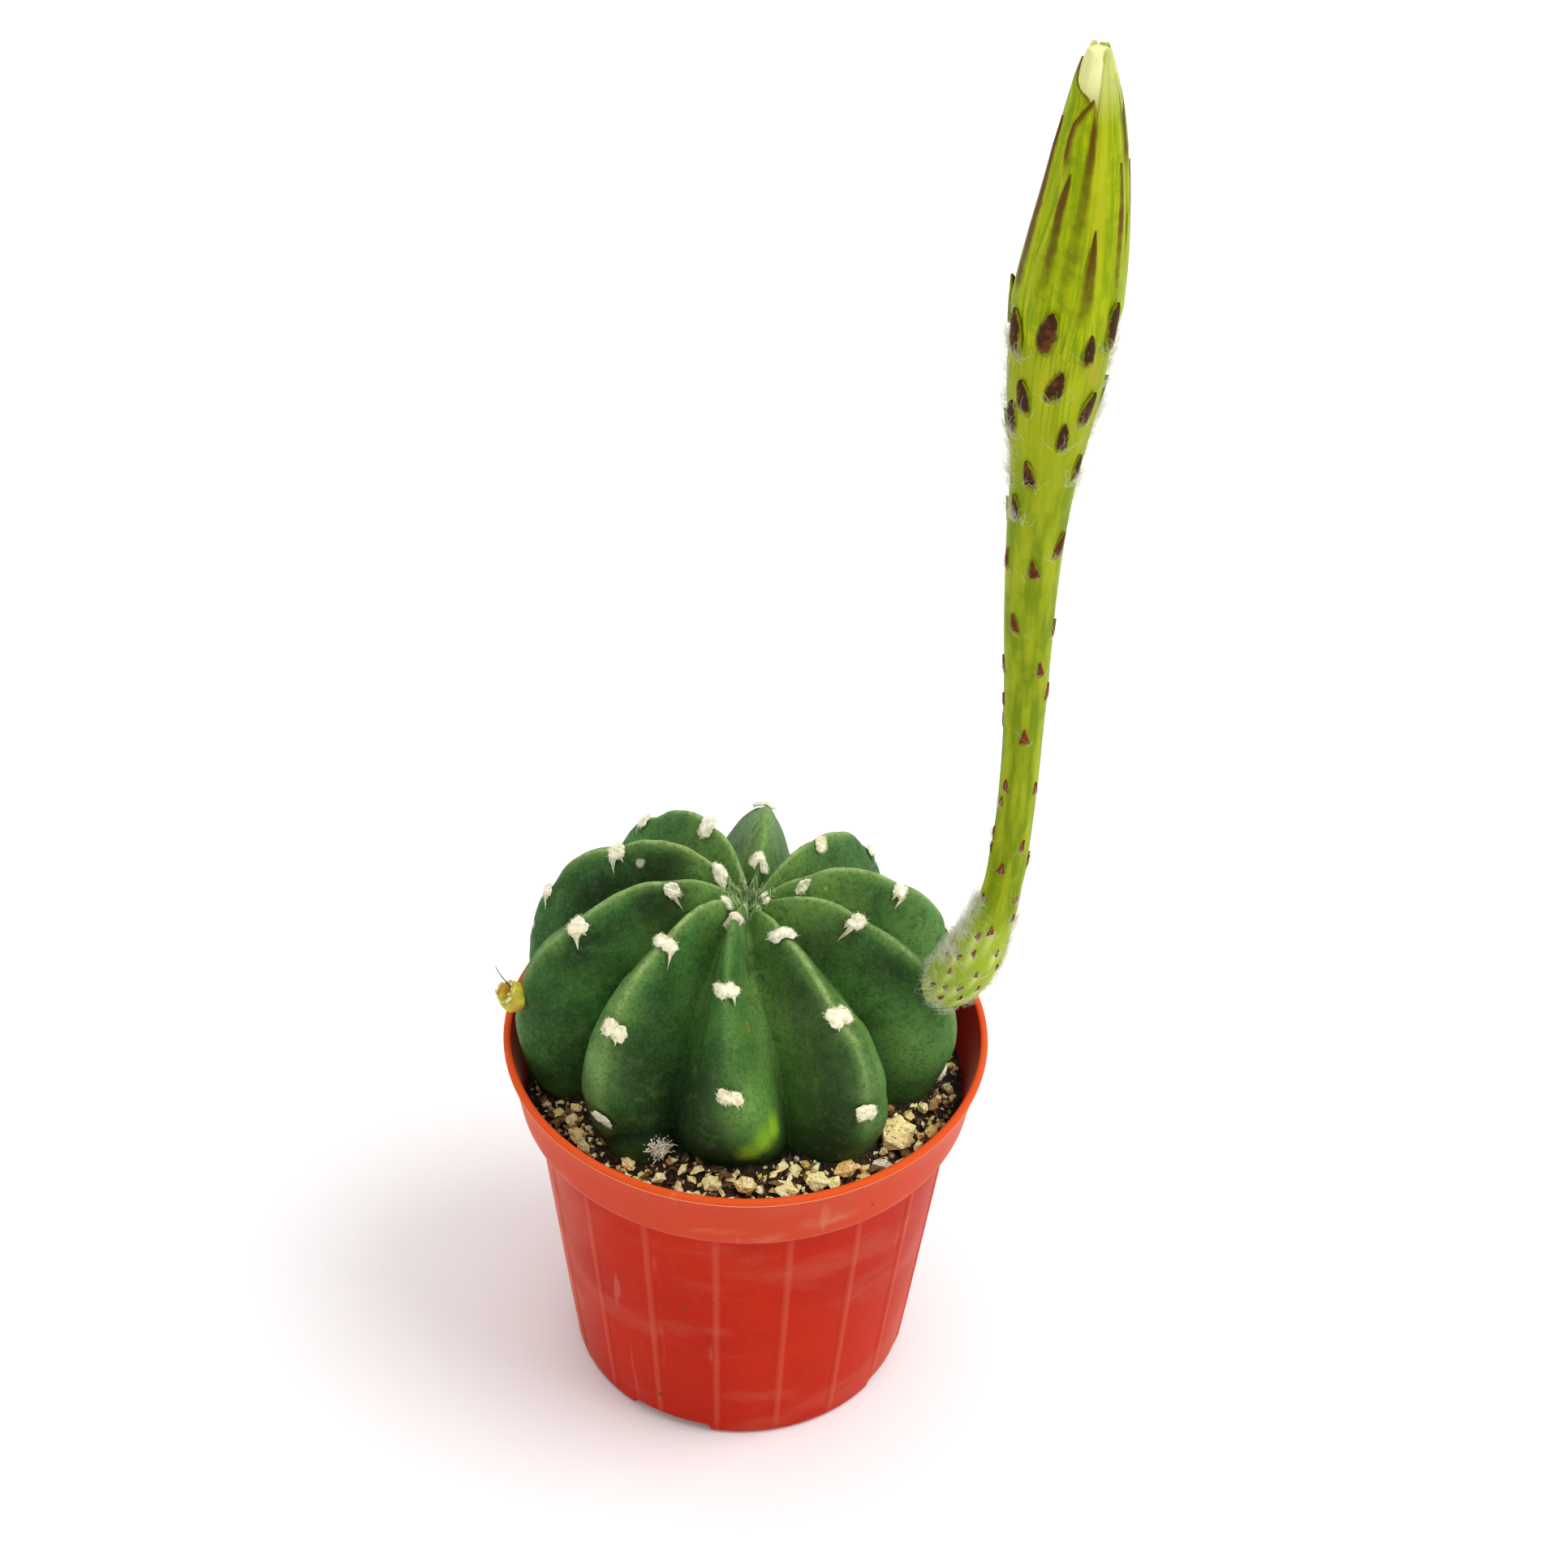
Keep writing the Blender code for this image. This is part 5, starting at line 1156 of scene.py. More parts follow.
print("points along a hair:", SILK_STEPS)

# %% Hairs on the tube and felt on the ovary
silk = Heap()
for rise, angle, _, width in SCALES:
    at_side = 45 < abs(angle) < 135
    if rise > 96:
        strands, stand = (46, 1.7) if at_side else (8, 1.0)
        silk_tuft(silk, strands, rise, angle, width * 0.4, 4.4, 0.3, stand, curl=0.7, thin=0.02)
    elif rise > 21:
        silk_tuft(silk, 18 if at_side else 5, rise, angle, width * 0.4, 3.4, 0.3, 0.8, curl=0.4, thin=0.018)
silk_patch(silk, 90, 7, (100, 139), (62, 112), 0.5, 3.2, 0.35, 1.3, sides=(-1, 1), curl=0.6, thin=0.02)

felt = Heap()
for rise, angle, _, width in SCALES:
    if rise <= 24:
        silk_tuft(felt, 20, rise, angle, width * 0.5, 3.2, 0.3, 0.5, curl=0.35, thin=0.02)
silk_patch(felt, 80, 16, (3, 21), (-150, -66), 0.5, 3.0, 0.9, 1.5, curl=1.0, thin=0.022)
silk_patch(felt, 44, 14, (-0.5, 19), (62, 150), 0.5, 2.8, 0.6, 0.9, curl=0.7, thin=0.022)
for angle in range(-176, 180, 8):
    silk_tuft(felt, 8, 0.6, angle, 0.3, 2.2, 0.5, 1.4, curl=0.6, climb_share=-0.7, thin=0.022)
for angle in range(85, 150, 8):
    silk_tuft(felt, 5, 4.0, angle, 0.4, 4.2, 0.5, 2.6, curl=1.6, climb_share=-0.4)

silk_finish = Finish("silky_hair", roughness=0.7, specular_ior_level=0.2)
silk_finish.paint(silk_finish.mix(silk_finish.layer("tint"), (0.82, 0.84, 0.58), (0.94, 0.92, 0.82)))
silk.piece("silky_hair", silk_finish, slot="flower_green")
felt.piece("ovary_felt", silk_finish, slot="flower_green")

# %% [markdown]
# ## The bud
#
# The bud is a furled spindle. Its sepals and outer tepals are green with a dark stripe and a maroon point
# or margin, and the inner ones are pale and blunt and show only at the top. Each is drawn by its two edges:
# at a list of heights, the angle of its left and of its right edge. A few stripes are given in the same
# way. Both are then wrapped on the spindle, each leaf at its own depth, so that one edge lies over the
# next.

# %% The tepals' outlines
BUD_R = [
    (126, 6.9), (131, 7.35), (136, 7.65), (140, 7.7), (144, 7.45), (147, 7.2), (151.5, 6.75), (156, 6.2),
    (161, 5.55), (166, 4.9), (170, 4.15), (173, 3.6), (176, 2.95), (178.5, 2.2), (180, 1.75), (182, 1.3),
]

# edges: height, left and right angle. stripe: height, middle, half width, darkness, redness.
# margin: side, degrees, from, to. light: middle and half width of a pale streak.
SEPAL_LEFT = dict(
    edges=[(131, -98, -56), (143, -100, -60), (150, -97, -62), (157, -94, -64), (165, -90, -68),
           (170.5, -80, -78)],
    stripe=[(137, -78, 8, 0, 0.6), (143, -78, 9, 0.8, 0.8), (150, -78, 10, 1, 0.9), (165, -79, 10, 1, 1),
           (170.5, -79, 8, 1, 1)],
    depth=0.44)
SEPAL_FRONT = dict(
    edges=[(131, -54, -18), (143, -56, -16), (150, -53, -19), (157, -45, -24), (160, -41, -26),
           (163.4, -31, -29)],
    stripe=[(141, -40, 9, 0, 0), (146, -36, 8, 0.65, 0), (150, -35, 7.5, 0.85, 0.2),
           (154, -35, 7, 0.95, 0.5), (158, -35, 7, 1, 0.8), (163.4, -30, 5, 1, 1)],
    depth=0.5)
SEPAL_SHARP = dict(
    edges=[(130, -4, 34), (136, -3, 32), (140, 0, 28), (144.6, 2, 23.5), (148.8, 5, 21), (153, 10.5, 17.5),
           (155.4, 13.6, 14.6)],
    stripe=[(138, 14, 9, 0, 0), (141, 13, 9, 0.5, 0.1), (145, 12.5, 8.5, 0.85, 0.4),
           (149, 13, 7.5, 0.95, 0.7), (153, 14, 5, 1, 0.9), (155.4, 14, 3, 1, 1)],
    depth=0.56)
SEPAL_RIGHT = dict(
    edges=[(131, 34, 74), (147.8, 38, 70), (156, 42, 67), (162, 46, 58), (164.8, 50, 52)],
    stripe=[(142, 52, 4, 0, 0.3), (148, 49, 5, 0.7, 0.6), (156, 51, 5.5, 0.9, 0.8), (160, 52, 5, 0.8, 0.9),
           (164.8, 51, 3, 0.9, 1)],
    depth=0.46)
BROAD_MIDDLE = dict(
    edges=[(131, -30, 10), (145, -32, 10), (153, -38, 9), (160, -45, 8), (166, -49, 8), (168.1, -50, 7),
           (170.4, -46, 5), (172.6, -30, 1), (174.4, -9, -6)],
    stripe=[(142, -12, 9, 0.2, 0), (148, -12, 10, 0.45, 0), (153, -10, 10, 0.6, 0.1),
           (158, -7, 9, 0.7, 0.3), (163, -5, 9, 0.85, 0.5), (166, -3, 8, 0.95, 0.6), (170, -1, 7, 1, 0.8),
           (172.4, -2, 5, 0.7, 0.9)],
    margin=(-1, 15, 162, 175), depth=0.36)
BROAD_LEFT = dict(
    edges=[(132, -125, -38), (160, -125, -30), (170, -124, -16), (174.2, -121, -12), (175.1, -119, -33),
           (176.2, -116, -58), (178, -110, -76), (179.4, -96, -90)],
    stripe=[(160, -86, 5, 0, 0.8), (172, -88, 6, 0.8, 0.8), (179.4, -88, 8, 0.9, 0.8)],
    margin=(1, 16, 172, 179.4), depth=0.2)
BROAD_RIGHT = dict(
    edges=[(131, 4, 70), (150, 3, 72), (160, 2, 72), (168, 2, 72), (172, 3, 72), (175, 7, 72),
           (178, 14, 72), (180, 24, 72), (181, 34, 64)],
    stripe=[(161, 65, 5, 0, 0.8), (166, 65, 6, 0.8, 0.8), (172, 64, 6, 0.9, 0.7), (177.5, 64, 7, 0.5, 0.6),
           (179, 64, 4, 0, 0.6)],
    light=(17, 11), depth=0.28, pale=0.35)
LOBE_LEFT = dict(
    edges=[(134, -112, -26), (172, -108, -26), (177, -106, -28), (179.5, -100, -28), (180.8, -84, -34),
           (181.2, -66, -50)],
    stripe=[(168, -78, 16, 0.6, 0.3), (174, -77, 15, 0.7, 0.5), (179, -76, 14, 0.5, 0.5),
           (180.5, -72, 8, 0.1, 0.4)],
    depth=0.12, pale=0.75)
LOBE_RIGHT = dict(
    edges=[(134, 12, 96), (172, 12, 96), (177, 18, 96), (179.5, 26, 92), (180.8, 32, 84), (181.3, 42, 66)],
    stripe=[(134, 90, 3, 0, 0), (181, 90, 3, 0, 0)],
    depth=0.1, pale=0.75)
INNER = dict(
    edges=[(140, -58, 34), (177, -58, 34), (179.2, -50, 28), (180.3, -34, 12)],
    stripe=[(140, 0, 3, 0, 0), (180.3, 0, 3, 0, 0)],
    depth=0.02, pale=1)
# each leaf's outline, and how far it is turned round the bud from where the outline stands
BUD_LEAVES = [
    (INNER, 0), (INNER, 90), (INNER, 180), (INNER, -90), (LOBE_LEFT, 0), (LOBE_RIGHT, 0), (LOBE_RIGHT, 92),
    (LOBE_LEFT, -95), (BROAD_LEFT, 0), (BROAD_RIGHT, 0), (BROAD_RIGHT, 78), (BROAD_RIGHT, 152),
    (BROAD_MIDDLE, 0), (BROAD_MIDDLE, 118), (BROAD_MIDDLE, -118), (SEPAL_LEFT, 0), (SEPAL_FRONT, 0),
    (SEPAL_SHARP, 0), (SEPAL_RIGHT, 0), (SEPAL_LEFT, -44), (SEPAL_FRONT, 124), (SEPAL_SHARP, 100),
    (SEPAL_RIGHT, 92), (SEPAL_FRONT, -134), (SEPAL_SHARP, -146), (SEPAL_LEFT, -108),
]
print("leaves of the bud:", len(BUD_LEAVES))

# %% The bud's core
BLADE_ROWS, BLADE_COLUMNS = 56, 19
CORE_ROWS, CORE_SIDES = 40, 40
CORE_FOOT, CORE_TOP = 127, 180.7


def bud_share(height):
    """About 0 at the foot of the bud and 1 at its tip."""
    return (height - 130) / 50


bud = Heap()
core_rise = np.linspace(CORE_FOOT, CORE_TOP, CORE_ROWS)[:, None]
core_angle = full_turn(CORE_SIDES)
core = on_stem(core_rise, core_angle, read_table(BUD_R, core_rise) - 0.2 + 0 * core_angle).reshape(-1, 3)
core = np.vstack([core, on_stem(CORE_FOOT, 0.0, 0.0)[None], on_stem(CORE_TOP - 0.3, 0.0, 0.0)[None]])
bud.add(
    core, tube_faces(CORE_ROWS, CORE_SIDES), ink=0, rust=0, pale=1, light=0, along=0.5, across=0, tint=0.5,
    rise=with_ends(np.repeat(bud_share(core_rise), CORE_SIDES), 0, 1),
)
print("rings of the core:", CORE_ROWS)

# %% Wrapping the tepals on the bud
tepal_rng = np.random.default_rng(3)
for leaf, turned in BUD_LEAVES:
    edges = np.array(leaf["edges"], dtype=float)
    stripe = np.array(leaf["stripe"], dtype=float)
    pale = leaf.get("pale", 0.0)
    foot, tip = edges[0, 0], edges[-1, 0]
    s = 1 - (1 - np.linspace(0, 1, BLADE_ROWS)) ** 1.25
    height = (foot + (tip - foot) * s)[:, None]
    left_edge = np.interp(height, edges[:, 0], edges[:, 1])
    right_edge = np.interp(height, edges[:, 0], edges[:, 2])
    u = np.linspace(-1, 1, BLADE_COLUMNS)[None]
    angle = (left_edge + right_edge) / 2 + (right_edge - left_edge) / 2 * u
    base_r = read_table(BUD_R, height)
    sunk = -1.3 * np.clip(1 - (height - foot) / 9.0, 0, 1) ** 1.5
    keel = 0.16 * (1 - np.abs(u)) ** 1.4 * (1 - pale)
    edge_thin = 0.10 * np.clip((np.abs(u) - 0.8) / 0.2, 0, 1)
    top_r = base_r + leaf["depth"] + sunk + keel - edge_thin + 0 * u
    under_r = base_r + leaf["depth"] - 0.30 + sunk + 0 * u

    middle, wide, dark, red = [np.interp(height, stripe[:, 0], stripe[:, k]) for k in (1, 2, 3, 4)]
    ink = dark * np.clip(1.5 - 1.1 * np.abs(angle - middle) / wide, 0, 1)
    rust = red + 0 * ink
    if "margin" in leaf:
        side, degrees, low, high = leaf["margin"]
        from_edge = (right_edge - angle) if side > 0 else (angle - left_edge)
        rim = np.clip(1.4 - from_edge / degrees, 0, 1) * np.clip((height - low) / 6 + 0.3, 0, 1)
        rust = np.where(rim > ink, 0.75, rust)
        ink = np.maximum(ink, rim * 0.95)
    light = 0.6 * np.clip((np.abs(u) - 0.62) / 0.3, 0, 1) + 0 * angle
    if "light" in leaf:
        centre, wide = leaf["light"]
        light = np.maximum(light * 0.4, np.clip(1.3 - np.abs(angle - centre) / wide, 0, 1))
    same = np.ones_like(angle)
    stitched(
        bud, on_stem(height, angle + turned, top_r), on_stem(height, angle + turned, under_r),
        ink=ink, rust=rust, pale=pale * same, light=light, along=s[:, None] * same, across=u * same,
        tint=tepal_rng.uniform() * same, rise=bud_share(height) * same,
    )
print("points of the bud:", bud.count)

# %% [markdown]
# One material paints all the tepals, because the formula above has already stored how dark, how red and how
# pale each point is. The shader adds what is finer than the mesh: lengthwise veins that fray the stripes'
# edges, a mottled lime green between them, and the thin milky tips.

# %% The tepals' finish
bud_finish = Finish("flower_bud", roughness=0.45, specular_ior_level=0.06)
veins = bud_finish.stretched(
    bud_finish.layer("across") * 4.0, bud_finish.layer("along") * 3.0, bud_finish.layer("tint") * 20.0,
    scale=1.6, rough=0.6)
mottle = bud_finish.grain(420.0, 3.0)
lime = bud_finish.coats(
    bud_finish.mix(veins.step(0.35, 0.66), (0.235, 0.33, 0.0015), (0.42, 0.485, 0.003)),
    (mottle.step(0.48, 0.66) * 0.5, (0.17, 0.28, 0.0015)),
    ((bud_finish.layer("light") * 0.75).clipped(), (0.50, 0.52, 0.016)),
)
ink_colour = bud_finish.coats(
    bud_finish.mix(bud_finish.layer("rust"), (0.135, 0.120, 0.0015), (0.110, 0.036, 0.004)),
    (mottle.step(0.5, 0.66) * 0.4, (0.19, 0.065, 0.008)),
)
inked = (bud_finish.layer("ink") + (veins - 0.5) * 0.8 + (mottle - 0.5) * 0.6).step(0.12, 1.10)
milky = (bud_finish.layer("pale") * bud_finish.layer("rise").step(0.80, 0.97)).clipped()
tepal_colour = bud_finish.coats(lime, (inked, ink_colour), (milky * (1 - 0.8 * inked), (0.92, 0.90, 0.42)))
bud_finish.paint(tepal_colour, height=veins, depth_mm=0.12, strength=0.4)
bud.piece("bud_tepals", bud_finish, stands_for=["flower_bud"], slot="flower_green")

# %% [markdown]
# ## The old flower's foot
#
# On the left rib the foot of an earlier flower has dried to a small yellow cup with torn pale lobes and a
# dark thread, the old style. Its lobes are stitched leaves round a cup.

# %% Old flower stub
stub_t, _ = crest_place(8, 53.8)
stub_foot, stub_side, stub_down, stub_normal = skin_frame(8.0, stub_t)
stub_way = unit(stub_normal * 0.75 + np.array([0, 0, 0.55]))
stub_up = unit(np.cross(stub_way, stub_side))


def on_stub(out, angle_deg, radius):
    out, angle_deg, radius = np.broadcast_arrays(out, angle_deg, radius)
    a = np.radians(angle_deg)[..., None]
    around = stub_side * np.cos(a) + stub_up * np.sin(a)
    return stub_foot + stub_way * out[..., None] + around * radius[..., None]


print("old flower's foot, in mm:", np.round(stub_foot, 1))

# %% The cup, its torn lobes and the thread
CUP_SIDES = 36
# Distance out and radius of each ring of the cup, up its outside and down into it
CUP = np.array([
    (-1.2, 1.3), (-0.6, 2.2), (0.4, 2.7), (1.6, 2.6), (2.7, 2.1), (3, 1.6), (2.2, 1.3), (1, 0.8),
])
LOBES, LOBE_ROWS, LOBE_COLUMNS = 11, 8, 5
stub_rng = np.random.default_rng(8)
stub = Heap()
cup_angle = full_turn(CUP_SIDES)
cup_out = CUP[:, :1] + 0.18 * np.sin(np.radians(cup_angle * 3)) * np.linspace(0, 1, len(CUP))[:, None]
cup_r = CUP[:, 1:] * (1 + 0.05 * np.sin(np.radians(cup_angle * 5)))
cup = on_stub(cup_out, cup_angle, cup_r).reshape(-1, 3)
cup = np.vstack([cup, on_stub(-1.4, 0.0, 0.0)[None], on_stub(0.5, 0.0, 0.0)[None]])
stub.add(cup, tube_faces(len(CUP), CUP_SIDES), along=0.3, tint=0.4)
s = np.linspace(0, 1, LOBE_ROWS)[:, None]
u = np.linspace(-1, 1, LOBE_COLUMNS)[None]
for k in range(LOBES):
    long = stub_rng.uniform(0.5, 1.3)
    half = stub_rng.uniform(14, 26) * (1 - 0.6 * s**1.5)
    turn = k * 33 + stub_rng.uniform(-8, 8) + u * half + stub_rng.uniform(-14, 14) * s
    out = 2.3 + long * s + 0.15 * np.abs(u) * s
    radius = 2.0 + stub_rng.uniform(-0.7, 0.5) * s + 0.2 * np.sin(s * 4 + k)
    same = np.ones((LOBE_ROWS, LOBE_COLUMNS))
    stitched(stub, on_stub(out, turn, radius + 0.08), on_stub(out, turn, radius - 0.08),
             along=(0.35 + 0.65 * s) * same, tint=stub_rng.uniform() * same)
s = np.linspace(0, 1, 14)
thread = on_stub(1.2 + 4.8 * s, 90.0 + 0 * s, 0.6 + 0 * s)
thread = thread + np.outer(s**1.5, [0.4, 0.6, 3.2]) + np.outer(np.sin(s * 5) * 0.25, [1, 0, 0])
stub.add(*strand_mesh(thread[None], 0.16 * (1 - 0.5 * s)[None]), along=2.0, tint=0.5)

stub_finish = Finish("dry_flower_foot", roughness=0.6)
fibre = stub_finish.grain(700.0, 4.0)
along = stub_finish.layer("along")
yellow = stub_finish.coats(
    stub_finish.mix(fibre.step(0.4, 0.65), (0.42, 0.38, 0.015), (0.62, 0.60, 0.05)),
    (stub_finish.grain(260.0, 2.0).step(0.46, 0.58) * 0.7, (0.66, 0.30, 0.015)),
    # The lobes' pale tips, and the dark thread
    (along.step(0.5, 0.95), (0.78, 0.75, 0.42)),
    (along.step(1.5, 1.9), (0.012, 0.016, 0.02)),
)
stub_finish.paint(yellow, height=fibre, depth_mm=0.2, strength=0.6)
stub.piece("dry_flower_foot", stub_finish, stands_for=["old_flower_stub"], slot="dry_calyx")

# %% [markdown]
# ## The pot
#
# A thin pot, moulded in one piece. Its wall has fine upright seams, then steps out into a band with a
# rolled lip, and inside there is a small ledge. It is turned from one outline, and the seams and the
# drainage channels under its foot are then raised from that outline by a formula.

# %% The pot's mesh
# radius, height and seam strength of each row
POT_OUTLINE = [
    (10, 0, 0), (14, 0, 0), (22, 0, 0), (29.2, 0, 0), (29.9, 0.15, 0), (30.3, 0.6, 0), (30.45, 1.3, 0.2),
    (30.75, 4, 1), (31.9, 13, 1), (33.2, 24, 1), (34.5, 35, 1), (35.8, 46, 1), (36.75, 54.2, 1),
    (37.1, 57.2, 0.8), (37.35, 58.1, 0.2), (38.1, 58.75, 0), (39.1, 59.2, 0), (39.7, 59.7, 0),
    (39.95, 60.4, 0), (40.1, 61.5, 0), (40.95, 66, 0), (41.85, 70.7, 0), (42.05, 71.1, 0), (42.3, 71.2, 0),
    (42.45, 71.4, 0), (42.5, 71.7, 0), (42.45, 72, 0), (42.25, 72.25, 0), (41.95, 72.38, 0),
    (41.6, 72.4, 0), (41.3, 72.3, 0), (41.1, 72, 0), (40.8, 70.9, 0), (39.8, 66, 0), (39.12, 61.6, 0),
    (39, 61.2, 0), (38.6, 60.8, 0), (37.9, 60.4, 0), (36.7, 59.2, 0), (36.2, 58.2, 0), (36.05, 57.4, 0),
    (34.8, 46, 0), (33.5, 35, 0), (32.2, 24, 0), (30.9, 13, 0), (29.6, 2.6, 0), (28.6, 1.45, 0),
    (22, 1.4, 0),
]
# Rows of that outline: the last one of the foot, the last one of the lip and the last one of the inner wall
FOOT_ROW, LIP_ROW, WALL_ROW = 7, 30, 44
POT_COLUMNS = 540
SEAM_STEP_DEG, FIRST_SEAM_DEG, SEAM_HALF_DEG, SEAM_HEIGHT = 20.0, -96.0, 0.85, 0.28
CHANNELS_DEG = (-113.0, -23.0, 67.0, 157.0)
CHANNEL_HALF_DEG = 14.8
CHANNEL_ROOF, CHANNEL_TOP = 2.0, 3.2


def off_angle(angle, middle):
    """How far an angle is from another, in degrees from 0 to 180."""
    return np.abs((angle - middle + 180) % 360 - 180)


outline = np.array(POT_OUTLINE)
pot_rows = len(outline)
pot_row = np.arange(pot_rows)[:, None]
pot_angle = full_turn(POT_COLUMNS)
half_step = SEAM_STEP_DEG / 2
off_seam = np.abs((pot_angle - FIRST_SEAM_DEG + half_step) % SEAM_STEP_DEG - half_step)
seam = np.clip(1 - (off_seam / SEAM_HALF_DEG) ** 2, 0, 1) ** 0.5
in_channel = np.zeros_like(pot_angle)
for channel in CHANNELS_DEG:
    inside = CHANNEL_HALF_DEG - off_angle(pot_angle, channel)
    in_channel = np.maximum(in_channel, np.clip(inside / 0.6, 0, 1))
pot_z = outline[:, 1:2] + 0 * pot_angle
for rows, raised in ((pot_row <= FOOT_ROW, CHANNEL_ROOF), (pot_row > WALL_ROW, CHANNEL_TOP)):
    pot_z = np.where(rows, np.maximum(pot_z, raised * in_channel), pot_z)
wobble = 0.12 * np.sin(np.radians(pot_angle * 2 + 40)) * np.clip(outline[:, 1:2] / 72, 0, 1)
pot_r = outline[:, :1] + SEAM_HEIGHT * outline[:, 2:] * seam + wobble
pot_points = polar(pot_r, np.radians(pot_angle), pot_z).reshape(-1, 3)
pot_points = np.vstack([pot_points, [(0, 0, 0.0)], [(0, 0, 1.4)]])
print("pot across and high, in mm:", np.round([2 * pot_r.max(), pot_z.max()], 1))

# %% [markdown]
# The plastic is orange-red and lets a little light through, so the lip is painted a brighter orange than
# the wall, as painted glow, and the inside is a deep plain red. A pale film, partly dust and partly painted
# sheen, lies on the wall. Painted highlights lighten the band and the foot of its step, and a pale painted
# reflection, partly scuffing, lies on the left of the wall. A painted highlight with some wear runs along
# the lip's edge, and the seams carry whitish wear. There are fine scratches and a few crumbs of soil.

# %% The pot's finish
pot_finish = Finish(
    "pot_plastic", roughness=0.45, specular_ior_level=0.08, specular_tint=(1.0, 0.6, 0.4, 1.0),
    sheen_weight=0.26, sheen_roughness=0.25, sheen_tint=(1.0, 0.62, 0.42, 1.0))
pot_place = pot_finish.where()
haze = pot_finish.grain(38.0, 4.0, 0.6)
fine = pot_finish.grain(1500.0, 2.0, 0.6)
sideways, tall = (pot_finish.node("ShaderNodeSeparateXYZ", {}, {0: pot_place}, out=axis) for axis in (0, 2))
band = tall.step(0.0585, 0.0605)
# The foot of the band's step, where a highlight is painted
band_foot_highlight = tall.step(0.0585, 0.0600) * tall.step(0.0680, 0.0615)
# A film of dust and painted sheen, and fine scratches
film_place, scratch_place = (
    pot_finish.node("ShaderNodeMapping", {}, {0: pot_place, 3: scale})
    for scale in ((30.0, 30.0, 70.0), (260.0, 260.0, 22.0)))
dust_and_sheen = pot_finish.grain(1.0, 4.0, 0.6, film_place).step(0.50, 0.66)
scratches = pot_finish.grain(1.0, 2.0, 0.5, scratch_place).step(0.66, 0.74)
soil_specks = pot_finish.node(
    "ShaderNodeTexVoronoi", {}, {"Vector": pot_place, "Scale": 150.0, "Randomness": 1.0})
red = pot_finish.coats(
    pot_finish.mix(haze.step(0.35, 0.7), (0.45, 0.009, 0.0010), (0.52, 0.017, 0.0025)),
    (fine.step(0.45, 0.75) * 0.22, (0.64, 0.070, 0.018)),
    (pot_finish.layer("seam") * 0.30, (0.66, 0.16, 0.09)),
    # Painted highlight on the band, a pale painted reflection on the left of the wall that is partly
    # scuffing, the painted highlight at the band's foot, and the film of dust and painted sheen
    (band * 0.4, (0.78, 0.12, 0.045)),
    (sideways.step(-0.022, -0.038) * (1 - band) * (0.08 + 0.30 * haze.step(0.38, 0.66)), (0.80, 0.40, 0.30)),
    (dust_and_sheen * band_foot_highlight * 0.55, (0.66, 0.26, 0.18)),
    (dust_and_sheen * 0.22, (0.58, 0.15, 0.09)),
    # The inside, the lip's painted glow, and its edge: a painted highlight with some wear
    (pot_finish.layer("inside") * 0.9, (0.44, 0.006, 0.002)),
    # Painted light: the lip is painted a brighter orange, for the light that comes through it
    (pot_finish.layer("lip") * 0.6, (0.78, 0.10, 0.012)),
    ((pot_finish.layer("worn") * (0.3 + haze)).clipped(), (0.95, 0.62, 0.36)),
    (scratches * 0.22, (0.70, 0.30, 0.20)),
    ((soil_specks + pot_finish.grain(60.0, 1.0) * 0.34).step(0.22, 0.19) * 0.75, (0.10, 0.04, 0.02)),
)
pot_finish.paint(red, roughness=0.34 + 0.26 * haze + 0.1 * fine, height=fine, depth_mm=0.03, strength=0.35)
radius_column, height_column = outline[:, :1] + 0 * pot_angle, outline[:, 1:2] + 0 * pot_angle
pot_faces = tube_faces(pot_rows, POT_COLUMNS)
pot = make_piece(
    "nursery_pot", pot_points, pot_faces, pot_finish, ["pot"], "pot_plastic", smooth_deg=40,
    layers={
        "seam": with_ends(seam * outline[:, 2:]),
        # The lip, painted brighter as glow
        "lip": with_ends((height_column > 71.15) * (radius_column > 41.2)),
        # A thin band along the lip's lower edge: painted highlight and wear
        "worn": with_ends(np.exp(-((height_column - 71.3) / 0.16) ** 2) * (radius_column > 42)),
        "inside": with_ends((pot_row > LIP_ROW) + 0 * pot_angle, 0, 1),
    },
)

# %% Drain holes
HOLE_RADIUS, HOLE_OUT, DRILL_MIDDLE, DRILL_LENGTH = 2.6, 19.0, 2.5, 6
drills = bpy.data.collections.new("drills")
scene.collection.children.link(drills)
for channel in CHANNELS_DEG:
    a = math.radians(channel)
    place = Matrix.Translation(Vector((HOLE_OUT * math.cos(a), HOLE_OUT * math.sin(a), DRILL_MIDDLE)) * MM)
    drill_mesh = bmesh.new()
    bmesh.ops.create_cone(
        drill_mesh, cap_ends=True, segments=32, radius1=HOLE_RADIUS * MM, radius2=HOLE_RADIUS * MM,
        depth=DRILL_LENGTH * MM, matrix=place)
    data = bpy.data.meshes.new("drill")
    drill_mesh.to_mesh(data)
    drill_mesh.free()
    drills.objects.link(bpy.data.objects.new("drill", data))
cut = pot.modifiers.new("drain_holes", "BOOLEAN")
cut.operation = "DIFFERENCE"
cut.operand_type = "COLLECTION"
cut.collection = drills
drilled = bpy.data.meshes.new_from_object(pot.evaluated_get(bpy.context.evaluated_depsgraph_get()))
pot.modifiers.clear()
pot.data = drilled
for drill in list(drills.objects):
    bpy.data.objects.remove(drill, do_unlink=True)
bpy.data.collections.remove(drills)
print("pot after drilling:", len(pot.data.polygons), "faces")

# %% [markdown]
# ## The soil
#
# The mix is dark crumbly peat with pale pumice. It reaches from the pot's floor to just above the inner
# ledge and heaps up to the plant. The surface is a fine polar grid with rough noise. Under the plant it
# dips below the skin, which leaves the plant a seat.

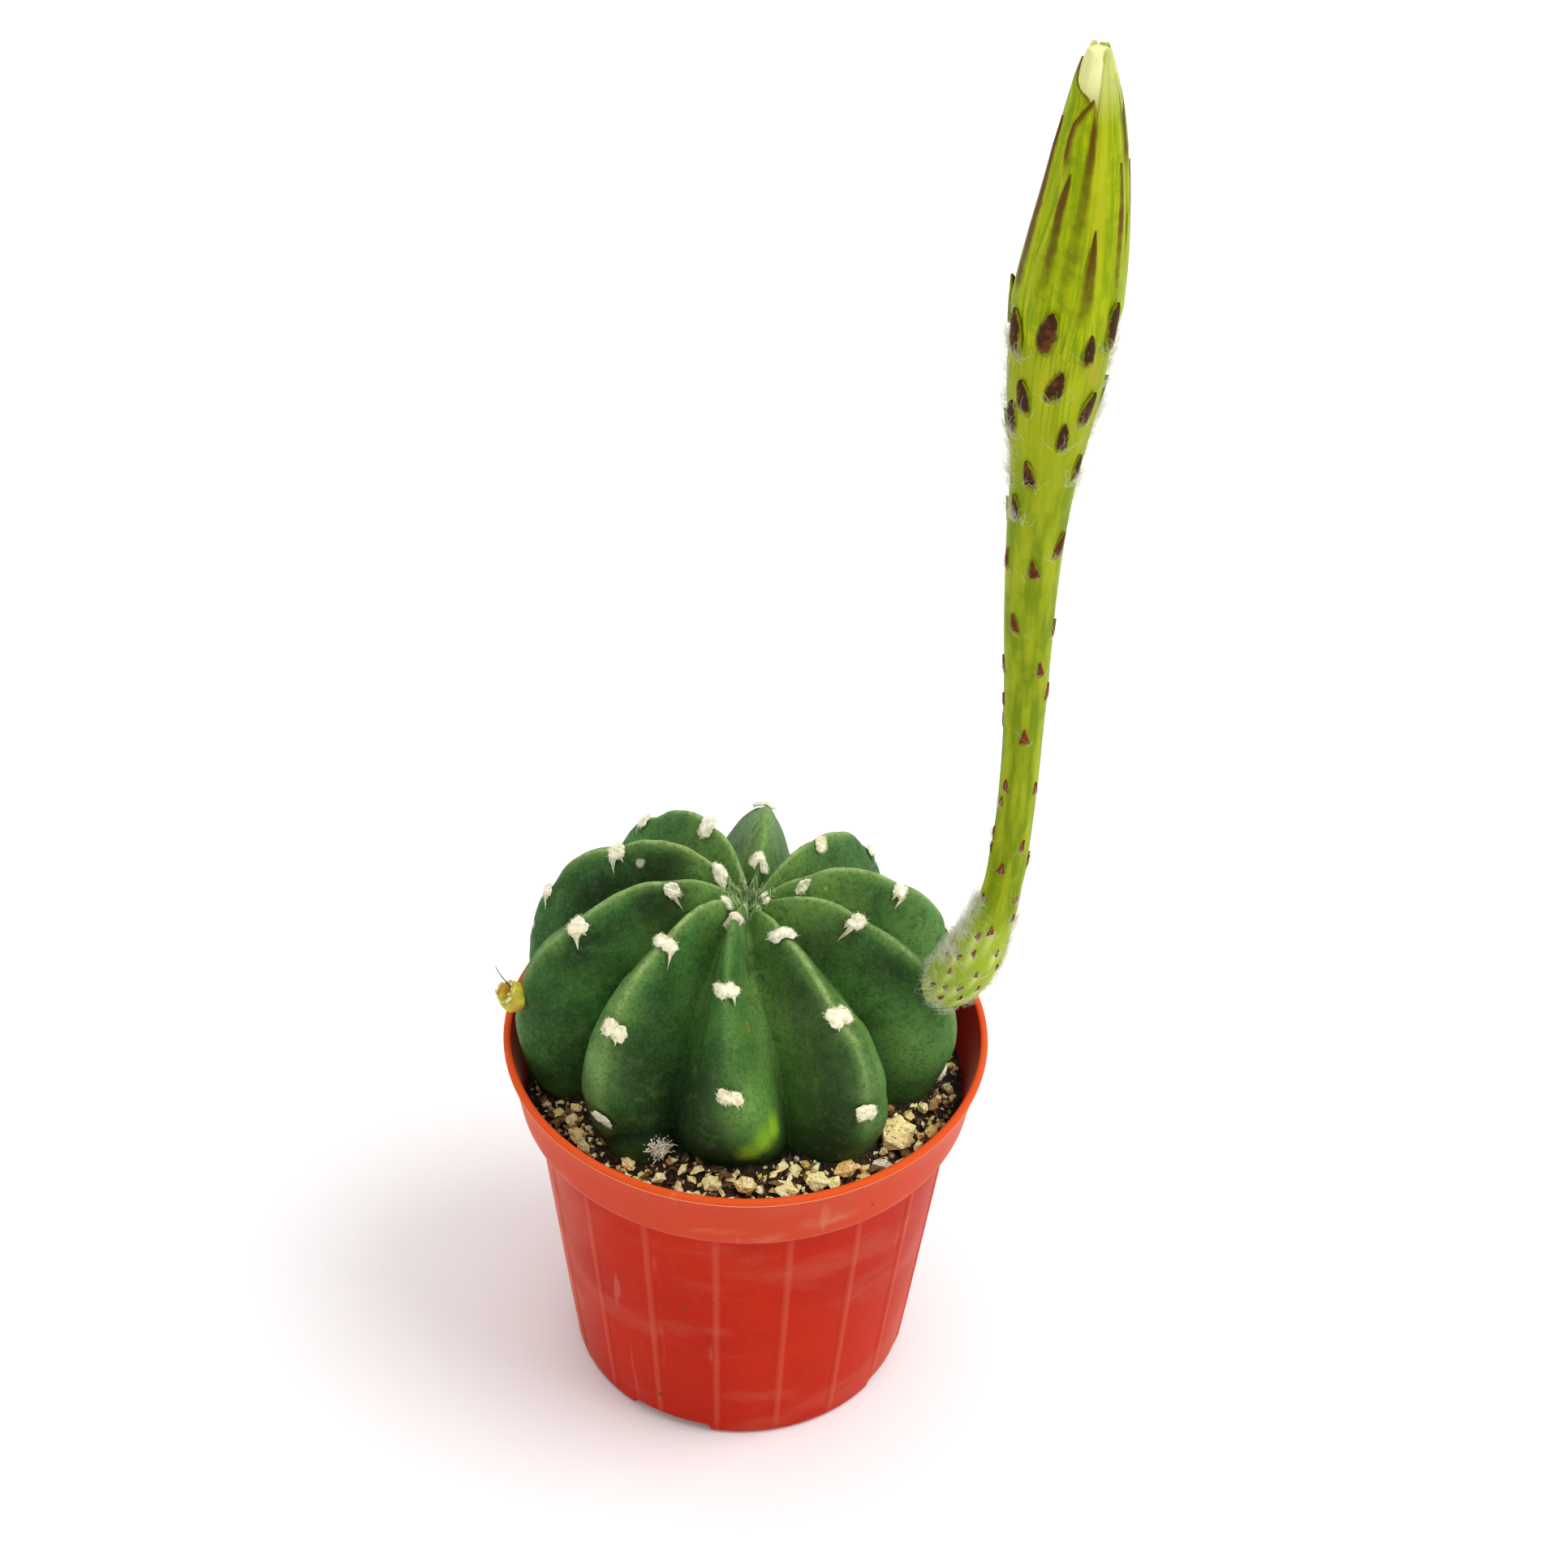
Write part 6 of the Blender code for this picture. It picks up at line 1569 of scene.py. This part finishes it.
# %% The soil's surface
def soil_height(x, y):
    r = np.hypot(x, y)
    rise = np.interp(r, [31.0, 39.0], [1.0, 0.0])
    uneven = 0.45 * np.sin(x * 0.55 + 1.0) * np.cos(y * 0.47) + 0.3 * np.sin((x - y) * 0.9)
    return 60.6 + 6.6 * rise + uneven


def inside_body(x, y, z, margin):
    """True where a point lies inside the plant, or closer to its skin than the margin."""
    near, normal, _, _ = body_tree.find_nearest(Vector((x, y, z)))
    return (Vector((x, y, z)) - near).dot(normal) < margin


SOIL_COLUMNS = 400
SOIL_SEAT = 52.0
ROUGH_FROM = 24
# Radius and height of the soil's rings from the pot's floor up its wall, and the height over a drain channel
SOIL_WALL = [(28.3, 1.75), (29.3, 2.6), (35.7, 57.6), (36.3, 59.4), (38.3, 61), (38.6, 61.4)]
SOIL_FLOOR = 3.7
soil_radii = np.concatenate([np.linspace(38.75, 25.0, 62), np.linspace(23.5, 3.0, 8)])
soil_angle = np.arange(SOIL_COLUMNS) * 2 * math.pi / SOIL_COLUMNS
soil_x = (soil_radii[:, None] * np.cos(soil_angle)).ravel()
soil_y = (soil_radii[:, None] * np.sin(soil_angle)).ravel()
soil_z = soil_height(soil_x, soil_y)
rough = np.stack([soil_x, soil_y, soil_z], axis=-1)
soil_z = soil_z + 0.55 * cloud(rough, 2.6, 4) + 0.35 * cloud(rough + 50, 0.9, 2)
for k in range(len(soil_z)):
    if soil_radii[k // SOIL_COLUMNS] < ROUGH_FROM or inside_body(soil_x[k], soil_y[k], soil_z[k], -0.4):
        soil_z[k] = SOIL_SEAT
wall_rings = [polar(r, soil_angle, z) for r, z in SOIL_WALL]
for ring in wall_rings[:2]:
    for channel in CHANNELS_DEG:
        over_channel = off_angle(np.degrees(soil_angle), channel) < 19
        ring[:, 2] = np.maximum(ring[:, 2], np.where(over_channel, SOIL_FLOOR, 0))
soil_points = np.vstack(
    wall_rings + [np.stack([soil_x, soil_y, soil_z], axis=-1), [(0, 0, SOIL_FLOOR)], [(0, 0, SOIL_SEAT)]])
soil_faces = tube_faces(len(SOIL_WALL) + len(soil_radii), SOIL_COLUMNS)
print("highest point of the soil, in mm:", round(soil_z.max(), 1))

# %% The peat's finish
peat_finish = Finish("peat", roughness=0.9)
crumb = peat_finish.grain(900.0, 5.0, 0.75)
brown = peat_finish.ramp(crumb, (0.38, (0.005, 0.003, 0.0015)), (0.52, (0.026, 0.012, 0.004)),
                         (0.63, (0.11, 0.052, 0.015)), (0.75, (0.50, 0.31, 0.10)))
bark = peat_finish.mix(crumb.step(0.35, 0.65), (0.05, 0.018, 0.006), (0.52, 0.285, 0.090))
brown = peat_finish.coats(brown, (peat_finish.layer("tint"), bark))
peat_finish.paint(brown, height=crumb, depth_mm=0.6, strength=1.0)
make_piece("peat_soil", soil_points, soil_faces, peat_finish, ["soil"], "peat_soil")

# %% [markdown]
# Pumice is broken volcanic glass foam: angular lumps with flat faces, sharp edges and small round holes. A
# lump is the convex hull of scattered points, cut finer, roughened by noise and pitted. The same recipe
# makes the twelve larger stones, which lie where their solids do, and the small grit between them.

# %% One broken stone
GOLDEN_ANGLE = math.radians(137.5)


def hull_stone(centre, size, turn, rng, points, detail, rough_mm, pit_mm, shift, soften=0.05):
    """Points and faces of one stone, in mm. shift moves the noise, so that no two stones are alike."""
    bm = bmesh.new()
    for k in range(points):
        level = 1 - 2 * (k + 0.5) / points
        a = GOLDEN_ANGLE * k
        ring = math.sqrt(1 - level * level)
        reach = rng.uniform(0.82, 1.1)
        place = Vector((ring * math.cos(a) * size[0], ring * math.sin(a) * size[1], level * size[2]))
        bm.verts.new(turn @ (place * (reach / 2)) + Vector(centre))
    hull = bmesh.ops.convex_hull(bm, input=list(bm.verts))
    loose = [item for item in hull["geom_interior"] if isinstance(item, bmesh.types.BMVert)]
    bmesh.ops.delete(bm, geom=loose, context="VERTS")
    for _ in range(detail):
        bmesh.ops.subdivide_edges(bm, edges=bm.edges, cuts=1, use_grid_fill=True)
        bmesh.ops.smooth_vert(
            bm, verts=bm.verts, factor=soften, use_axis_x=True, use_axis_y=True, use_axis_z=True)
    bm.normal_update()
    moved = Vector((shift, 0, 0))
    for vert in bm.verts:
        roughness = noise.fractal(vert.co / 1.4 + moved, 1.0, 2.0, 3) * rough_mm
        cell = noise.voronoi(vert.co / 1.1 + moved)[0][0]
        pit = max(0.0, 0.30 - cell) / 0.30 * pit_mm
        vert.co += vert.normal * (roughness - pit - 0.05)
    bmesh.ops.triangulate(bm, faces=bm.faces)
    bm.verts.index_update()
    corners = [tuple(vert.co) for vert in bm.verts]
    faces = [tuple(vert.index for vert in face.verts) for face in bm.faces]
    bm.free()
    return corners, faces


test_stone = hull_stone((0, 0, 0), (4, 3, 3), Matrix.Identity(3), random.Random(1), 12, 2, 0.2, 0.2, 0)
print("a test stone has", len(test_stone[1]), "faces")

# %% The pumice's finish
pumice_finish = Finish("pumice", roughness=0.92)
patchy = pumice_finish.grain(520.0, 4.0, 0.7)
pits = pumice_finish.node("ShaderNodeTexVoronoi", {}, {"Vector": pumice_finish.where(), "Scale": 1300.0})
stone_colour = pumice_finish.coats(
    # The tint runs from yellow through orange and brown to white
    pumice_finish.ramp(pumice_finish.layer("tint"), (0.0, (1.0, 0.90, 0.42)), (0.35, (1.0, 0.76, 0.26)),
                       (0.6, (0.82, 0.46, 0.10)), (0.8, (0.34, 0.15, 0.05)), (1.0, (0.98, 0.95, 0.80))),
    (patchy.step(0.46, 0.32) * 0.45, (0.40, 0.22, 0.05)),
    (patchy.step(0.48, 0.66) * 0.75, (1.0, 0.95, 0.64)),
    # Painted shade: the small holes are painted dark
    (pits.step(0.26, 0.14) * 0.6, (0.09, 0.05, 0.02)),
)
pumice_finish.paint(stone_colour, height=patchy + pits.step(0.1, 0.3) * 0.5, depth_mm=0.35, strength=0.9)

# %% The twelve larger stones
# azimuth in degrees, distance out, height and size in mm, and tint
STONES = [
    (-36.5, 33.2, 67.4, (7.4, 6.2, 8.2), 0.2), (-46, 34.8, 64.8, (4.6, 3.2, 2.6), 0.95),
    (-66.8, 33.4, 66.3, (4.6, 4, 4.2), 0.02), (-76.5, 33.8, 66.1, (4.6, 3.8, 3.6), 0.15),
    (-57, 33, 66.4, (5.4, 3.8, 4.2), 0.5), (-88.3, 32.6, 66.8, (4.8, 3.4, 3.4), 0.3),
    (-98.2, 32.6, 66.6, (4.6, 3.2, 3.2), 0.05), (-125, 33.6, 65.8, (3.2, 2.8, 2.8), 0.28),
    (-144.5, 34.8, 64.9, (4, 3.2, 3), 0.2), (-26, 36.4, 63.9, (3.6, 3, 3.2), 0.55),
    (34, 37, 63.2, (4.2, 3, 3), 0.3), (148, 36.4, 63.7, (3.8, 3, 2.8), 0.45),
]
stone_rng = random.Random(7)
placed = []
for index, (azimuth, out, z, size, stone_tint) in enumerate(STONES):
    a = math.radians(azimuth)
    turn = Matrix.Rotation(a + stone_rng.uniform(-0.3, 0.3), 3, "Z") @ Matrix.Rotation(math.pi / 2, 3, "Z")
    turn = turn @ Matrix.Rotation(stone_rng.uniform(-0.3, 0.3), 3, "X")
    centre = (out * math.cos(a), out * math.sin(a), z)
    own_rng = random.Random(stone_rng.random())
    points, faces = hull_stone(centre, size, turn, own_rng, 12, 4, 0.30, 0.45, index * 3.1, soften=0.02)
    placed.append((centre[0], centre[1], max(size[:2]) / 2))
    name = f"pumice_stone_{index + 1:02d}"
    make_piece(name + "_rough", points, faces, pumice_finish, [name], "pumice",
               layers={"tint": np.full(len(points), stone_tint)}, smooth_deg=35)

# %% [markdown]
# The grit fills the ring between the plant and the pot. Grains are dropped at random, largest first, and a
# drop that lands inside the plant or on top of an earlier grain is tried again elsewhere. More of the large
# pale grains lie at the front, where the photograph shows them, so a first handful is dropped on that side
# alone.

# %% Dropping grit
INNER_EDGE = 27.0
grit_rng = random.Random(19)
grit = Heap()
fines = Heap()
crumbs = Heap()


def random_turn(rng):
    return (Matrix.Rotation(rng.uniform(0, 6.28), 3, "Z") @ Matrix.Rotation(rng.uniform(0, 6.28), 3, "X")
            @ Matrix.Rotation(rng.uniform(0, 6.28), 3, "Y"))


def ring_place(rng, inner, outer, low=-math.pi, high=math.pi):
    """A random place on the soil, between two distances from the pot's axis. Gives the distance too."""
    r = math.sqrt(rng.uniform(inner**2, outer**2))
    a = rng.uniform(low, high)
    return r, r * math.cos(a), r * math.sin(a)


def free_place(rng, size, spacing, low, high):
    """A place in the ring of soil that is clear of the plant and of what lies there already, or None."""
    _, x, y = ring_place(rng, INNER_EDGE, 38.3 - size * 0.55, low, high)
    z = float(soil_height(x, y))
    if inside_body(x, y, z + size * 0.3, size * 0.55):
        return None
    if any(math.hypot(x - ox, y - oy) < (size / 2 + other) * spacing for ox, oy, other in placed):
        return None
    return x, y, z


def drop_grit(heap, wanted, low, high, detail, side=(-180, 180), shades=(0.40, 0.28, 0.16, 0.10, 0.06)):
    """Drops grains between two sizes in mm. shades: the shares of yellow, gold, ochre, brown and white."""
    made = 0
    for _ in range(wanted * 16):
        if made == wanted:
            break
        size = grit_rng.uniform(low, high)
        found = free_place(grit_rng, size, 0.62 if low > 2 else 0.48, *np.radians(side))
        if found is None:
            continue
        x, y, z = found
        placed.append((x, y, size / 2))
        made += 1
        shape = (size, size * grit_rng.uniform(0.5, 0.85), size * grit_rng.uniform(0.4, 0.8))
        lift = size * grit_rng.uniform(0.05, 0.34)
        pale = grit_rng.choices([0.02, 0.25, 0.5, 0.78, 1.0], shades)[0]
        points, faces = hull_stone((x, y, z + lift), shape, random_turn(grit_rng), grit_rng, 8, detail,
                                   0.16 * size / 2, 0.22 * size / 2, made * 1.7, 0.0)
        heap.add(points, faces, tint=max(pale + grit_rng.uniform(-0.05, 0.0), 0.0))
    print("grit", low, "to", high, "mm:", made)


# %% [markdown]
# At the foot of the left front rib lies a loose white tuft of down. Hairs alone look like a cobweb there,
# so a few soft lumps fill it, and short thick hairs curl out of them on all sides.

# %% The downy tuft
TUFT_DEG, TUFT_OUT, TUFT_HIGH, TUFT_REACH = -118, 30.6, 69.6, 1.6
tuft_a = math.radians(TUFT_DEG)
tuft_x, tuft_y = TUFT_OUT * math.cos(tuft_a), TUFT_OUT * math.sin(tuft_a)
tuft_rng = np.random.default_rng(5)
strands, steps = 700, 5
s = np.linspace(0, 1, steps)[None, :, None]
root = tuft_rng.normal(0, 1, (strands, 1, 3)) * (0.85, 0.6, 0.6)
root += np.array([tuft_x, tuft_y, TUFT_HIGH])
way = unit(tuft_rng.normal(0, 1, (strands, 1, 3)))
curl = unit(tuft_rng.normal(0, 1, (strands, 1, 3)))
tuft = Heap()
for k in range(9):
    lump = (tuft_x + grit_rng.uniform(-1.0, 1.0), tuft_y + grit_rng.uniform(-0.7, 0.5),
            TUFT_HIGH - 0.1 + grit_rng.uniform(-0.6, 0.7))
    turn = random_turn(grit_rng)
    points, faces = hull_stone(lump, (1.6, 1.4, 1.3), turn, grit_rng, 9, 3, 0.4, 0.3, k * 1.3)
    tuft.add(points, faces, tint=1.0)
tuft.add(*strand_mesh(root + way * 0.8 * s + curl * 0.7 * s**2, 0.19 * (1 - 0.5 * s[..., 0])), tint=1.0)
tuft_finish = Finish("downy_tuft", roughness=0.95)
tuft_finish.paint(tuft_finish.mix(tuft_finish.grain(500.0), (0.98, 0.86, 0.68), (1.0, 0.99, 0.86)))
tuft.piece("downy_tuft", tuft_finish, slot="pumice")
placed.append((30.4 * math.cos(tuft_a), 30.4 * math.sin(tuft_a), TUFT_REACH))

# %% Grit, large and small
drop_grit(grit, 60, 3.0, 5.2, 3, (-128, -40), (0.65, 0.35, 0.0, 0.0, 0.0))
drop_grit(grit, 165, 2.6, 4.8, 3)
drop_grit(fines, 210, 1.4, 2.6, 2)
drop_grit(fines, 300, 0.5, 1.4, 1)

# %% [markdown]
# Between the grit lie crumbs of peat, flat chips of bark and thin fibres. One mesh holds all three, and a
# tint from 0 to 1 turns the peat's own colour into bark.

# %% Crumbs, bark and fibres
for made in range(420):
    size = grit_rng.uniform(0.5, 1.5)
    _, x, y = ring_place(grit_rng, INNER_EDGE, 38.0)
    z = float(soil_height(x, y))
    if inside_body(x, y, z, size * 0.4):
        continue
    shape = (size * 1.3, size * 0.7, size * 0.6)
    turn = random_turn(grit_rng)
    points, faces = hull_stone((x, y, z + 0.3), shape, turn, grit_rng, 11, 1, 0.1, 0.0, made * 0.7)
    crumbs.add(points, faces, tint=grit_rng.uniform(0.0, 0.5))

for made in range(420):
    size = grit_rng.uniform(1.6, 5.2)
    r, x, y = ring_place(grit_rng, 28.0, 37.0)
    z = float(soil_height(x, y))
    if inside_body(x, y, z, size * 0.42) or r + size / 2 > 38.6:
        continue
    tilt = Matrix.Rotation(grit_rng.uniform(0, 6.28), 3, "Z")
    tilt = tilt @ Matrix.Rotation(grit_rng.uniform(-0.6, 0.6), 3, "X")
    shape = (size, size * grit_rng.uniform(0.2, 0.4), grit_rng.uniform(0.35, 0.8))
    place = (x, y, z + grit_rng.uniform(0.4, 1.4))
    points, faces = hull_stone(place, shape, tilt, grit_rng, 10, 2, 0.12, 0.0, made * 0.3)
    crumbs.add(points, faces, tint=grit_rng.uniform(0.2, 1.0))

fibre_rng = np.random.default_rng(31)
s = np.linspace(0, 1, 7)
for _ in range(150):
    _, start_x, start_y = ring_place(fibre_rng, 28.0, 37.0)
    way = fibre_rng.uniform(0, 2 * math.pi)
    long = fibre_rng.uniform(1.5, 4.5)
    bend = fibre_rng.uniform(-1.2, 1.2)
    x = start_x + math.cos(way) * long * (s - 0.5) - math.sin(way) * bend * s**2
    y = start_y + math.sin(way) * long * (s - 0.5) + math.cos(way) * bend * s**2
    z = soil_height(x, y) + 0.5 + fibre_rng.uniform(0.0, 0.8) * np.sin(s * math.pi)
    if np.hypot(x, y).max() >= 38.0 or any(inside_body(px, py, pz, 0.3) for px, py, pz in zip(x, y, z)):
        continue
    thick = np.full((1, len(s)), fibre_rng.uniform(0.07, 0.16))
    crumbs.add(*strand_mesh(np.stack([x, y, z], axis=-1)[None], thick), tint=fibre_rng.uniform(0.3, 1.0))
grit.piece("pumice_grit", pumice_finish, slot="pumice", smooth_deg=35)
fines.piece("pumice_fines", pumice_finish, slot="pumice", smooth_deg=35)
crumbs.piece("peat_crumbs", peat_finish, slot="peat_soil")
